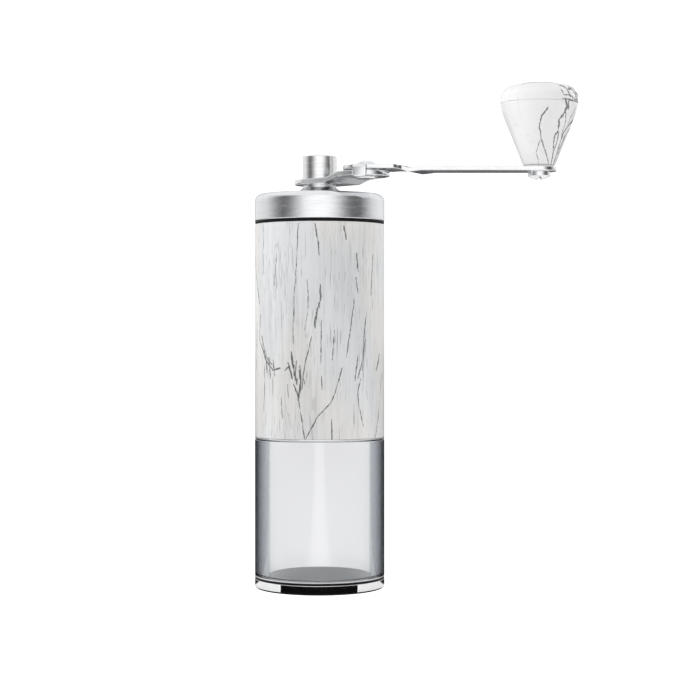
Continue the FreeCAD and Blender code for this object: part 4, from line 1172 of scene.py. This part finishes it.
@dataclass
class RingScrews:
    """The small pan-head screws that hold the burr's retaining ring."""

    circle: float = 20.6
    count: int = 3
    head: float = 1.58
    shank: float = 0.88
    seat: float = 68.3
    top: float = 74.4
    low: float = 67.2

    def build(self, finishes: Finishes, groups: Groups) -> None:
        """Makes one screw and sets copies of it round the ring."""
        outline = corners(
            (0, 0.15), (0.9, 0.02, 0.6), (self.head, 0.4, 0.35), (self.head, self.seat - self.low, 0.1),
            (self.shank, self.seat - self.low), (self.shank, self.top - self.low, 0.2),
            (0, self.top - self.low),
            turn=False,
        )
        screw = turned_piece("ring_screws", outline, closed=False, steps=32)
        slot = box_mesh("slot", (-2 * MM, -0.2 * MM, -1 * MM), (2 * MM, 0.2 * MM, 0.55 * MM))
        carve(screw, slot)
        values = {
            "Count": self.count, "Radius": self.circle * MM,
            "Height": self.low * MM, "Finish": finishes.satin,
        }
        grown(screw, make_ring_of("Ring of screws"), values)
        fit(screw, "body", "satin_steel", finishes.satin, "burr_ring_screws")


def box_mesh(
    name: str, low: tuple[float, float, float], high: tuple[float, float, float]
) -> bpy.types.Object:
    """A scratch box for carving."""
    work = bmesh.new()
    bmesh.ops.create_cube(work, size=1.0)
    for vert in work.verts:
        vert.co = Vector(
            (high[axis] if vert.co[axis] > 0 else low[axis]) for axis in range(3)
        )
    mesh = bpy.data.meshes.new(name)
    work.to_mesh(mesh)
    work.free()
    return mesh_object(name, mesh)


def carve(piece: bpy.types.Object, cutter: bpy.types.Object) -> None:
    """Cuts one mesh out of another and removes the cutter."""
    modifier = piece.modifiers.new("carve", "BOOLEAN")
    modifier.operation = "DIFFERENCE"
    modifier.solver = "EXACT"
    modifier.object = cutter
    bpy.context.view_layer.update()
    mesh = bpy.data.meshes.new_from_object(piece.evaluated_get(bpy.context.evaluated_depsgraph_get()))
    piece.modifiers.remove(modifier)
    piece.data = mesh
    bpy.data.objects.remove(cutter)
    smooth(piece.data, 32.0)


# ------------------------------------------------------------------ the drive
@dataclass
class Drive:
    """The shaft with its clip, washer and spring, and the ceramic burr with its nylon core."""

    spring_radius: float = 5.35
    spring_wire: float = 0.5
    spring_turns: float = 5.0
    spring_top: float = 88.8
    spring_low: float = 81.0

    def build(self, finishes: Finishes, groups: Groups) -> None:
        """Makes the pieces that turn with the crank inside the body."""
        keep(finishes.satin, "drive_shaft", "spring_washer")
        keep(finishes.dark, "shaft_clip")
        keep(finishes.ceramic, "inner_burr")
        keep(finishes.nylon, "burr_core")
        start = bpy.data.meshes.new("spring")
        spring = mesh_object("burr_coil", start)
        length = self.spring_top - self.spring_low - 2.4 * self.spring_wire
        values = {
            "Turns": self.spring_turns, "Radius": self.spring_radius * MM,
            "Low": (self.spring_low + 1.2 * self.spring_wire) * MM,
            "Length": length * MM, "Wire": self.spring_wire * MM, "Finish": finishes.spring,
        }
        grown(spring, make_coil("Coil spring"), values)
        fit(spring, "shaft", "spring_steel", finishes.spring, "burr_spring")


def make_scallops(name: str) -> bpy.types.NodeTree:
    """A tree that presses finger scallops into the rim of a turned piece.

    Args:
        name: the tree's name.

    Returns:
        The tree, with inputs Count, Depth, From and Finish.
    """
    tree = bpy.data.node_groups.new(name, "GeometryNodeTree")
    face = tree.interface
    face.new_socket("Geometry", in_out="INPUT", socket_type="NodeSocketGeometry")
    for label in ("Count", "Depth", "From"):
        face.new_socket(label, in_out="INPUT", socket_type="NodeSocketFloat")
    face.new_socket("Finish", in_out="INPUT", socket_type="NodeSocketMaterial")
    face.new_socket("Geometry", in_out="OUTPUT", socket_type="NodeSocketGeometry")
    w = Wiring(tree)
    given = w.add("NodeGroupInput")
    out = w.add("NodeGroupOutput")
    place = w.add("GeometryNodeInputPosition").outputs["Position"]
    flat = w.vector("MULTIPLY", place, (1.0, 1.0, 0.0))
    split = w.add("ShaderNodeSeparateXYZ")
    w.join(place, split.inputs[0])
    turn = w.math("ARCTAN2", split.outputs["Y"], split.outputs["X"])
    wave = w.math("COSINE", w.math("MULTIPLY", turn, given.outputs["Count"]))
    hollow = w.math("POWER", w.math("MAXIMUM", wave, 0.0), 0.8)
    outside = w.math("GREATER_THAN", w.vector("LENGTH", flat), given.outputs["From"])
    depth = w.math("MULTIPLY", w.math("MULTIPLY", hollow, given.outputs["Depth"]), outside)
    shift = w.vector("SCALE", w.vector("NORMALIZE", flat), scale=w.math("MULTIPLY", depth, -1.0))
    press = w.add("GeometryNodeSetPosition")
    w.join(given.outputs["Geometry"], press.inputs["Geometry"])
    w.join(shift, press.inputs["Offset"])
    real = w.add("GeometryNodeRealizeInstances")
    w.join(press.outputs["Geometry"], real.inputs["Geometry"])
    finish = w.add("GeometryNodeSetMaterial")
    w.join(real.outputs["Geometry"], finish.inputs["Geometry"])
    w.join(given.outputs["Finish"], finish.inputs["Material"])
    w.join(finish.outputs["Geometry"], out.inputs["Geometry"])
    return tree


@dataclass
class Dial:
    """The scalloped grind dial under the burrs."""

    scallops: int = 12
    depth: float = 1.1
    hub: float = 6.0
    bore: float = 3.06
    rim_low: float = 65.4

    def build(self, finishes: Finishes) -> None:
        """Makes the dial."""
        span = Span.of("adjusting_dial")
        rim = span.radius / MM
        low = span.low / MM
        high = span.high / MM
        outline = corners(
            (self.bore, low, 0.3), (self.hub, low, 0.4), (self.hub, self.rim_low, 0.3),
            (rim - 2.6, self.rim_low, 0.1), (rim, self.rim_low, 0.5),
            (rim, high, 0.5), (rim - 2.6, high, 0.1),
            (self.bore, high, 0.2),
        )
        dial = turned_piece("grind_dial", outline, steps=240)
        values = {
            "Count": float(self.scallops), "Depth": self.depth * MM, "From": (rim - 1.5) * MM,
            "Finish": finishes.nylon,
        }
        grown(dial, make_scallops("Scalloped rim"), values)
        fit(dial, "dial", "grey_nylon", finishes.grey, "adjusting_dial")


# ------------------------------------------------------------------ the lid
@dataclass
class Lid:
    """The aluminium lid with its gasket, plug and bushing."""

    edge: float = 2.6
    skirt: float = 23.0
    plate: float = 148.9
    bore: float = 8.05
    neck: float = 22.4

    def build(self, finishes: Finishes) -> None:
        """Makes the pieces that lift off together."""
        shell = Span.of("lid_shell")
        gasket = Span.of("lid_gasket")
        outer = shell.radius / MM
        low = shell.low / MM
        top = shell.high / MM
        outline = corners(
            (self.skirt, low), (outer, low, 0.3), (outer, top, self.edge), (self.bore, top, 0.35),
            (self.bore, self.plate), (self.skirt, self.plate),
        )
        fit(turned_piece("lid_top", outline), "lid", "brushed_aluminium", finishes.lid, "lid_shell")
        outline = corners(
            (self.neck, gasket.low / MM), (outer - 0.1, gasket.low / MM, 0.25),
            (outer - 0.1, gasket.high / MM, 0.25),
            (self.neck, gasket.high / MM),
        )
        fit(turned_piece("lid_gasket_ring", outline), "lid", "black_rubber", finishes.rubber, "lid_gasket")
        keep(finishes.nylon, "lid_insert")
        keep(finishes.rubber, "lid_seal")
        keep(finishes.bronze, "lid_bushing")


# ------------------------------------------------------------------ the crank
@dataclass
class Bracket:
    """The pressed plate from the hub to the arm's pivot; sizes in millimetres."""

    end: float = 9.5
    length: float = 24.75
    boss: float = 8.8
    shoulder: float = 1.9
    thickness: float = 1.9
    turn: float = -44.0
    step: tuple[float, float] = (12.4, 18.5)
    hub_hole: float = 4.6
    pin_hole: float = 3.0
    cut_edge: float = 0.22

    def pivot(self) -> Vector:
        """Where the pivot stands, in millimetres from the hub."""
        angle = math.radians(self.turn)
        return Vector((self.length * math.cos(angle), self.length * math.sin(angle), 0.0))

    def build(self, finishes: Finishes) -> None:
        """Makes the plate flat, presses its step and turns it into place."""
        low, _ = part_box("hub_bracket")
        middle = low.z + self.thickness / 2 * MM
        swing = math.degrees(math.acos(self.shoulder / self.boss))
        outline = arc_points((0, 0), self.end, 90, 270)
        outline += arc_points((self.length + self.shoulder - 0.5, 0.5 - self.end), 0.5, 270, 360, 6)
        outline += arc_points((self.length, 0), self.boss, -swing, swing)
        outline += arc_points((self.length + self.shoulder - 0.5, self.end - 0.5), 0.5, 0, 90, 6)
        flat = [(x * MM, y * MM) for x, y in outline]
        holes = [(0, 0, self.hub_hole * MM), (self.length * MM, 0, self.pin_hole * MM)]
        mesh = cut_plate("bracket_plate", flat, holes, self.thickness * MM, self.cut_edge * MM)
        stations = [(self.step[0] * MM, 0.0), (self.step[1] * MM, self.thickness * MM)]
        slices = [(self.step[0] - 1.2 + 0.35 * count) * MM for count in range(25)]
        work = bmesh.new()
        work.from_mesh(mesh)
        bmesh.ops.remove_doubles(work, verts=work.verts, dist=1e-6)
        slice_mesh(work, slices, Vector((1, 0, 0)))
        angle = math.radians(self.turn)
        for vert in work.verts:
            x, y, z = vert.co
            z += middle + eased(stations, x, 0.7 * MM)
            cosine = math.cos(angle)
            sine = math.sin(angle)
            vert.co = (x * cosine - y * sine, x * sine + y * cosine, z)
        work.to_mesh(mesh)
        work.free()
        piece = mesh_object("bracket_plate", cleaned(mesh))
        fit(piece, "crank", "satin_steel", finishes.pressed, "hub_bracket")


@dataclass
class Arm:
    """The folding arm with its stepped bar and bent stop tab; sizes in millimetres from the pivot."""

    boss: float = 8.8
    half_width: float = 6.5
    length: float = 65.1
    neck: tuple[float, float] = (9.7, 13.5)
    thickness: float = 1.6
    level: float = 159.4
    step: tuple[float, float, float] = (15.0, 18.4, 23.4)
    drop: float = 0.55
    dip: float = 0.6
    skew: float = 24.8
    tab_turn: float = 255.0
    tab_half: float = 2.6
    tab_start: float = 9.15
    tab_low: float = 156.2
    bend: float = 0.8
    bore: float = 3.05
    screw_hole: float = 2.1
    cut_edge: float = 0.22

    def outline(self) -> list[tuple[float, float]]:
        """The flat outline, with the tab still unbent."""
        leg = self.level + self.thickness / 2 - self.bend - self.tab_low
        reach = self.tab_start + self.bend * math.pi / 2 + leg
        turn = math.radians(self.tab_turn)
        out = Vector((math.cos(turn), math.sin(turn)))
        side = Vector((-out.y, out.x))
        root = math.degrees(math.asin(self.tab_half / self.boss))
        points = arc_points((0, 0), self.boss, 90, self.tab_turn - root)
        points.append(tuple(out * (self.tab_start - 0.05) - side * self.tab_half))
        for round_side in (-1, 1):
            middle = out * (reach - 1.3) + side * round_side * (self.tab_half - 1.3)
            start = self.tab_turn - 90 if round_side < 0 else self.tab_turn
            points += arc_points(tuple(middle), 1.3, start, start + 90, 8)
        points.append(tuple(out * (self.tab_start - 0.05) + side * self.tab_half))
        points += self.neck_side(-1)
        points += arc_points((self.length, 0), self.half_width, -90, 90)
        points += self.neck_side(1)
        return points

    def neck_side(self, side: int) -> list[tuple[float, float]]:
        """The eased taper from the boss to the bar, on one side."""
        found = []
        for count in range(13):
            share = count / 12
            x = self.neck[0] + (self.neck[1] - self.neck[0]) * share
            ease = share * share * (3 - 2 * share)
            found.append((x, side * (self.boss + (self.half_width - self.boss) * ease)))
        return found if side < 0 else found[::-1]

    def bent(self, place: Vector) -> Vector:
        """Where a point of the flat plate goes once the tab and the step are pressed."""
        turn = math.radians(self.tab_turn)
        out = Vector((math.cos(turn), math.sin(turn), 0.0))
        side = Vector((-out.y, out.x, 0.0))
        along = place.dot(out) / MM - self.tab_start
        across = place.dot(side)
        if along > 0 and abs(across) < (self.tab_half + 0.2) * MM:
            angle = min(along / self.bend, math.pi / 2)
            straight = max(0.0, along - self.bend * math.pi / 2)
            reach = self.tab_start + self.bend * math.sin(angle)
            fall = self.bend * (1 - math.cos(angle)) + straight
            normal = out * math.sin(angle) + Vector((0, 0, math.cos(angle)))
            return out * reach * MM + side * across - Vector((0, 0, fall * MM)) + normal * place.z
        start, lowest, end = (value * MM for value in self.step)
        stations = [(start, 0.0), (lowest, -(self.drop + self.dip) * MM), (end, -self.drop * MM)]
        at = place.x - place.y * math.tan(math.radians(self.skew))
        return place + Vector((0, 0, eased(stations, at, 0.7 * MM)))

    def build(self, finishes: Finishes, pivot: Vector) -> None:
        """Cuts the plate, bends it and sets it on its pivot.

        Args:
            finishes: the grinder's materials.
            pivot: where the pivot stands, in millimetres.
        """
        flat = [(x * MM, y * MM) for x, y in self.outline()]
        holes = [(0, 0, self.bore * MM), (self.length * MM, 0, self.screw_hole * MM)]
        mesh = cut_plate("arm_plate", flat, holes, self.thickness * MM, self.cut_edge * MM)
        work = bmesh.new()
        work.from_mesh(mesh)
        bmesh.ops.remove_doubles(work, verts=work.verts, dist=1e-6)
        skew = math.radians(self.skew)
        across = Vector((math.cos(skew), -math.sin(skew), 0))
        places = [(self.step[0] - 1.2 + 0.35 * count) * math.cos(skew) * MM for count in range(31)]
        slice_mesh(work, places, across)
        turn = math.radians(self.tab_turn)
        places = [(self.tab_start + self.bend * math.pi / 2 * count / 8) * MM for count in range(9)]
        slice_mesh(work, places, Vector((math.cos(turn), math.sin(turn), 0)))
        base = pivot * MM + Vector((0, 0, (self.level + self.thickness / 2) * MM))
        for vert in work.verts:
            vert.co = self.bent(vert.co) + base
        work.to_mesh(mesh)
        work.free()
        fit(mesh_object("arm_plate", cleaned(mesh)), "arm", "satin_steel", finishes.pressed, "crank_arm")


@dataclass
class Crank:
    """The hub's nut and clip, the bracket and the pivot."""

    nut_bore: float = 2.75
    nut_edge: float = 0.5
    rivet_radius: float = 3.0
    bracket: Bracket = field(default_factory=Bracket)
    arm: Arm = field(default_factory=Arm)

    def build(self, finishes: Finishes) -> None:
        """Makes the pieces that turn with the hub, and the arm."""
        nut = Span.of("thumb_nut")
        outer = nut.radius / MM
        low = nut.low / MM
        top = nut.high / MM
        outline = corners(
            (self.nut_bore, low), (outer, low, 0.3), (outer, top, self.nut_edge), (self.nut_bore, top, 0.15),
        )
        fit(turned_piece("hub_nut", outline), "crank", "satin_steel", finishes.nut, "thumb_nut")
        keep(finishes.nut, "crank_hub")
        keep(finishes.dark, "hub_clip")
        keep(finishes.satin, "pivot_washer")
        self.bracket.build(finishes)
        pivot = self.bracket.pivot()
        self.arm.build(finishes, pivot)
        rivet = Span.of("pivot_rivet")
        foot = rivet.low / MM
        head = rivet.high / MM
        outline = corners(
            (0, foot), (4.1, foot, 0.3), (4.3, foot + 0.8, 0.15), (self.rivet_radius, foot + 0.8),
            (self.rivet_radius, head - 1.75), (3.55, head - 1.75, 0.1), (3.45, head - 0.95, 0.7),
            (1.7, head - 0.1, 2.2), (0, head), turn=False,
        )
        piece = turned_piece("pivot_pin", outline, (rivet.x, rivet.y), closed=False, steps=96)
        fit(piece, "crank", "satin_steel", finishes.nut, "pivot_rivet")


@dataclass
class Knob:
    """The marble knob on its spindle, with the slotted screw under the arm."""

    bore: float = 4.06
    foot: float = 5.95
    flare: tuple[float, float, float] = (13.7, 180.3, 9.0)
    recess: float = 10.0
    recess_floor: float = 179.7
    side_top: float = 187.6
    shoulder: tuple[float, float] = (12.4, 190.5)

    def build(self, finishes: Finishes) -> None:
        """Makes the knob, its cap, the spindle and the screw."""
        body = Span.of("knob_body")
        cap = Span.of("knob_cap")
        centre = (body.x, body.y)
        outer = body.radius / MM
        low = body.low / MM
        seam = body.high / MM
        top = cap.high / MM
        outline = corners(
            (self.bore, low, 0.15), (self.foot, low, 0.9), self.flare,
            (outer, seam, 0.4), (self.recess, seam),
            (self.recess, self.recess_floor), (self.bore, self.recess_floor),
        )
        fit(turned_piece("knob_grip", outline, centre), "knob", "marble_print", finishes.knob, "knob_body")
        outline = corners(
            (0, seam + 1.9), (8.2, seam + 1.9), (8.2, 182.0), (9.95, 182.0), (9.95, seam), (outer, seam, 0.4),
            (outer, self.side_top, 3.2), (*self.shoulder, 3.2), (6.2, top - 0.42, 12.0), (0, top), turn=False,
        )
        top = turned_piece("knob_top", outline, centre, closed=False)
        fit(top, "knob", "marble_print", finishes.knob, "knob_cap")
        keep(finishes.satin, "knob_spindle")
        keep(finishes.natural, "knob_washer")
        screw = Span.of("knob_screw")
        low = screw.low / MM
        outline = corners(
            (0, low), (1.9, low, 0.8), (3.95, low + 0.95, 0.6), (4.25, low + 1.2, 0.15), (4.25, 158.85, 0.12),
            (2.0, 158.85), (2.0, screw.high / MM), (0, screw.high / MM), turn=False,
        )
        piece = turned_piece("knob_bolt", outline, centre, closed=False, steps=96)
        half = 0.5 * MM
        slot = box_mesh(
            "slot", (centre[0] - half, centre[1] - 6 * MM, (low - 1) * MM),
            (centre[0] + half, centre[1] + 6 * MM, (low + 0.8) * MM),
        )
        carve(piece, slot)
        fit(piece, "arm", "satin_steel", finishes.nut, "knob_screw")


# ------------------------------------------------------------------ the studio
@dataclass
class Lamp:
    """A soft area light, hidden from reflections."""

    name: str
    place: tuple[float, float, float]
    size: float
    power: float

    def build(self) -> None:
        """Makes the light, aimed at the middle of the grinder."""
        light = bpy.data.lights.new(self.name, "AREA")
        light.shape = "DISK"
        light.size = self.size
        light.energy = self.power
        held = bpy.data.objects.new(self.name, light)
        held.location = self.place
        aim = Vector((0.02, 0.0, 0.1)) - Vector(self.place)
        held.rotation_euler = aim.to_track_quat("-Z", "Y").to_euler()
        held.visible_glossy = False
        held.visible_transmission = False
        bpy.context.scene.collection.objects.link(held)


@dataclass
class Studio:
    """Camera, floor, lights and surroundings."""

    camera_place: tuple[float, float, float] = (0.0117, -0.7008, 0.0992)
    pitch: float = 0.63
    lens: float = 93.3
    floor_radius: float = 1.05
    hole_radius: float = 0.0236
    mirrored: float = 1.25
    ambient: float = 0.70
    card_half: float = 36.0
    lamps: tuple[Lamp, ...] = (
        Lamp("key light", (-1.3, -0.1, 0.35), 0.9, 5.0),
        Lamp("fill light", (1.3, 0.0, 0.30), 1.0, 3.4),
        Lamp("top light", (-0.1, -0.2, 1.5), 1.2, 1.6),
    )
    surroundings: tuple[tuple[float, float], ...] = (
        (-180, 0.16), (-166, 0.45), (-152, 0.78), (-118, 0.76),
        (-104, 0.70), (-94, 0.50), (-84, 0.28), (-75, 0.17),
        (-67, 0.08), (-58, 0.12), (-50, 0.24), (-42, 0.42), (-34, 0.60), (-26, 0.84), (-16, 0.97), (0, 1.0),
        (16, 0.97), (26, 0.80), (36, 0.54), (44, 0.30), (52, 0.15),
        (60, 0.09), (70, 0.07), (78, 0.10), (87, 0.24),
        (97, 0.48), (108, 0.70), (122, 0.80), (152, 0.78), (166, 0.45), (180, 0.16),
    )

    knob_light_place: tuple[float, float, float] = (-0.45, -0.85, 0.42)
    knob_light_power: float = 14.0
    knob_light_cone: float = 5.5
    knob_light_blend: float = 0.6
    knob_light_size: float = 0.06
    knob_light_drop: float = 8.0 * MM
    floor_drop: float = 0.1 * MM
    floor_roughness: float = 0.9
    painted_shade_color: tuple[float, float, float] = (0.05, 0.05, 0.055)
    dark_reflection_slope: float = 0.16
    dark_reflection_fade: float = 4.0 * MM
    contact_shadow_reach: tuple[float, float] = (26.2 * MM, 26.8 * MM)
    shallow_rise: tuple[float, float] = (0.2, 0.35)
    mirrored_glow: float = 0.32
    pool_lean: float = 0.0176
    pool_spread: float = 1.43
    pool_edge: tuple[float, float] = (3.0 * MM, 9.0 * MM)
    pool_glow: tuple[float, float] = (0.20, 0.11)

    def build(self) -> None:
        """Makes the whole studio."""
        scene = bpy.context.scene
        scene.view_settings.view_transform = "Standard"
        camera = bpy.data.cameras.new("camera")
        camera.lens = self.lens
        camera.sensor_width = 36.0
        camera.dof.use_dof = False
        held = bpy.data.objects.new("camera", camera)
        held.location = self.camera_place
        held.rotation_euler = (math.radians(90 - self.pitch), 0, 0)
        scene.collection.objects.link(held)
        scene.camera = held
        for lamp in self.lamps:
            lamp.build()
        self.make_knob_light(scene)
        self.make_world(scene)
        self.make_floor()
        self.make_card()

    def make_knob_light(self, scene: bpy.types.Scene) -> None:
        """A narrow soft light on the knob, from the upper left."""
        light = bpy.data.lights.new("knob light", "SPOT")
        light.energy = self.knob_light_power
        light.spot_size = math.radians(self.knob_light_cone)
        light.spot_blend = self.knob_light_blend
        light.shadow_soft_size = self.knob_light_size
        held = bpy.data.objects.new("knob light", light)
        held.location = self.knob_light_place
        low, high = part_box("knob_cap")
        aim = (low + high) / 2 - held.location - Vector((0, 0, self.knob_light_drop))
        held.rotation_euler = aim.to_track_quat("-Z", "Y").to_euler()
        held.visible_glossy = False
        scene.collection.objects.link(held)

    def make_world(self, scene: bpy.types.Scene) -> None:
        """White to the camera, even to matt surfaces, and bright and dark screens in reflections."""
        world = bpy.data.worlds.new("studio")
        world.use_nodes = True
        scene.world = world
        tree = world.node_tree
        tree.nodes.clear()
        w = Wiring(tree)
        out = w.add("ShaderNodeOutputWorld")
        way = w.add("ShaderNodeTexCoord").outputs["Generated"]
        split = w.add("ShaderNodeSeparateXYZ")
        w.join(way, split.inputs[0])
        turn = w.math("ARCTAN2", split.outputs["X"], w.math("MULTIPLY", split.outputs["Y"], -1.0))
        share = w.math("MULTIPLY_ADD", turn, 1 / math.tau, 0.5)
        ramp = w.add("ShaderNodeValToRGB")
        elements = ramp.color_ramp.elements
        while len(elements) < len(self.surroundings):
            elements.new(0.5)
        for element, (angle, value) in zip(elements, self.surroundings):
            element.position = (angle + 180) / 360
            element.color = (value, value, value, 1.0)
        w.join(share, ramp.inputs["Fac"])
        high = w.band(split.outputs["Z"], 0.35, 0.7)
        around = w.mix(high, ramp.outputs["Color"], (0.80, 0.80, 0.80))
        under = w.band(split.outputs["Z"], -0.02, 0.0, 1.0, 0.0)
        low = w.math("MULTIPLY", under, w.band(split.outputs["Z"], -0.35, -0.2))
        below = w.math("MULTIPLY", low, w.band(split.outputs["Y"], 0.0, 0.3))
        around = w.mix(below, around, (0.12, 0.12, 0.125))
        path = w.add("ShaderNodeLightPath")
        soft = w.mix(path.outputs["Is Diffuse Ray"], around, (0.9, 0.9, 0.9))
        background = w.add("ShaderNodeBackground")
        w.join(w.mix(path.outputs["Is Camera Ray"], soft, (1.0, 1.0, 1.0)), background.inputs["Color"])
        spread = path.outputs["Is Diffuse Ray"]
        level = w.math("MULTIPLY_ADD", spread, self.ambient - self.mirrored, self.mirrored)
        w.join(level, background.inputs["Strength"])
        w.join(background.outputs[0], out.inputs["Surface"])

    def make_floor(self) -> None:
        """The floor round the grinder's foot.

        It is a ring that the camera doesn't see, and it is clear from below. Matt surfaces find it pale, and
        the cup shows a painted pool of light on it along the view. Mirrors find a painted contact shadow on
        it past the foot's reach, and painted dark reflection behind the grinder where they meet it at a
        shallow angle.
        """
        work = bmesh.new()
        count = 128
        angles = [math.tau * step / count for step in range(count)]
        ways = [Vector((math.cos(angle), math.sin(angle), 0)) for angle in angles]
        hole = [work.verts.new(way * self.hole_radius) for way in ways]
        edge = [work.verts.new(way * self.floor_radius) for way in ways]
        for step in range(count):
            after = (step + 1) % count
            work.faces.new((hole[step], edge[step], edge[after], hole[after]))
        mesh = bpy.data.meshes.new("floor")
        work.to_mesh(mesh)
        work.free()
        floor = mesh_object("floor", mesh)
        floor.location.z = -self.floor_drop
        material, w, shader = start_material("pale floor")
        shader.inputs["Roughness"].default_value = self.floor_roughness
        shader.inputs["Specular IOR Level"].default_value = 0.0
        path = w.add("ShaderNodeLightPath")
        split = w.add("ShaderNodeSeparateXYZ")
        w.join(w.object_place(), split.inputs[0])
        passing = path.outputs["Is Transmission Ray"]
        bounced = w.math("SUBTRACT", path.outputs["Is Glossy Ray"], passing, clamp=True)
        off_middle = w.math("ABSOLUTE", split.outputs["X"])
        # Painted dark reflection: glossy rays that meet the floor behind the grinder at a shallow angle find
        # it dark.
        aside = w.math("MULTIPLY_ADD", off_middle, -self.dark_reflection_slope, split.outputs["Y"])
        reach = w.vector("LENGTH", w.object_place((1.0, 1.0, 0.0)))
        geometry = w.add("ShaderNodeNewGeometry")
        arriving = w.add("ShaderNodeSeparateXYZ")
        w.join(geometry.outputs["Incoming"], arriving.inputs[0])
        shallow = w.band(w.math("ABSOLUTE", arriving.outputs["Z"]), *self.shallow_rise, 1.0, 0.0)
        behind = w.math("MULTIPLY", w.band(aside, 0.0, self.dark_reflection_fade), shallow)
        # Painted contact shadow: the floor is also dark to glossy rays right round the foot; glossy rays see
        # this painted shade as the floor's colour.
        hidden = w.math("MAXIMUM", behind, w.band(reach, *self.contact_shadow_reach, 1.0, 0.0))
        dark = w.math("MULTIPLY", bounced, hidden)
        white = w.mix(w.noise(w.object_place(), 3.0), (0.90, 0.90, 0.90), (0.93, 0.93, 0.93))
        w.join(w.mix(dark, white, self.painted_shade_color), shader.inputs["Base Color"])
        # Painted pool of light: a glowing streak on the floor along the view, which only rays through the cup
        # see.
        streak = w.math("MULTIPLY_ADD", split.outputs["Y"], self.pool_lean, split.outputs["X"])
        spread = w.math("MULTIPLY_ADD", split.outputs["Y"], self.pool_spread, 1.0)
        off_streak = w.math("DIVIDE", w.math("ABSOLUTE", streak), spread)
        pool = w.band(off_streak, *self.pool_edge, *self.pool_glow)
        through = w.math("MULTIPLY", passing, pool)
        mirrored = w.math("MULTIPLY", w.math("SUBTRACT", bounced, dark), self.mirrored_glow)
        shader.inputs["Emission Color"].default_value = (1.0, 1.0, 1.0, 1.0)
        w.join(w.math("ADD", through, mirrored), shader.inputs["Emission Strength"])
        clear = w.add("ShaderNodeBsdfTransparent")
        either = w.add("ShaderNodeMixShader")
        w.join(geometry.outputs["Backfacing"], either.inputs["Fac"])
        w.join(shader.outputs[0], either.inputs[1])
        w.join(clear.outputs[0], either.inputs[2])
        w.join(either.outputs[0], material.node_tree.nodes["Material Output"].inputs["Surface"])
        mesh.materials.append(material)
        floor.visible_camera = False

    def make_card(self) -> None:
        """A black card on the floor in front, which only reflections see."""
        work = bmesh.new()
        ring = []
        rim = []
        for step in range(25):
            turn = math.radians(-self.card_half + 2 * self.card_half * step / 24)
            near = Vector((math.sin(turn), -math.cos(turn), 0.0)) * 0.0254
            ring.append(work.verts.new(near))
            rim.append(work.verts.new(near + Vector((math.sin(2 * turn), -math.cos(2 * turn), 0.0)) * 0.034))
        for index in range(len(ring) - 1):
            work.faces.new((ring[index], ring[index + 1], rim[index + 1], rim[index]))
        mesh = bpy.data.meshes.new("black_card")
        work.to_mesh(mesh)
        work.free()
        card = mesh_object("black_card", mesh)
        material, w, shader = start_material("black card")
        w.join(w.mix(w.noise(w.object_place(), 40.0), (0.004, 0.004, 0.004), (0.01, 0.01, 0.01)),
               shader.inputs["Base Color"])
        shader.inputs["Roughness"].default_value = 0.9
        shader.inputs["Specular IOR Level"].default_value = 0.0
        mesh.materials.append(material)
        card.visible_camera = False
        card.visible_diffuse = False
        card.visible_transmission = False
        card.visible_shadow = False


def main() -> None:
    """Builds the grinder's looks on the frame."""
    logging.basicConfig(level=logging.INFO, format="%(name)s: %(message)s")
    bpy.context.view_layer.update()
    groups = Groups()
    finishes = Finishes(groups)
    Studio().build()
    Cup().build(finishes)
    Body().build(finishes, groups)
    Drive().build(finishes, groups)
    Dial().build(finishes)
    Lid().build(finishes)
    Crank().build(finishes)
    Knob().build(finishes)


if __name__ == "__main__":
    main()
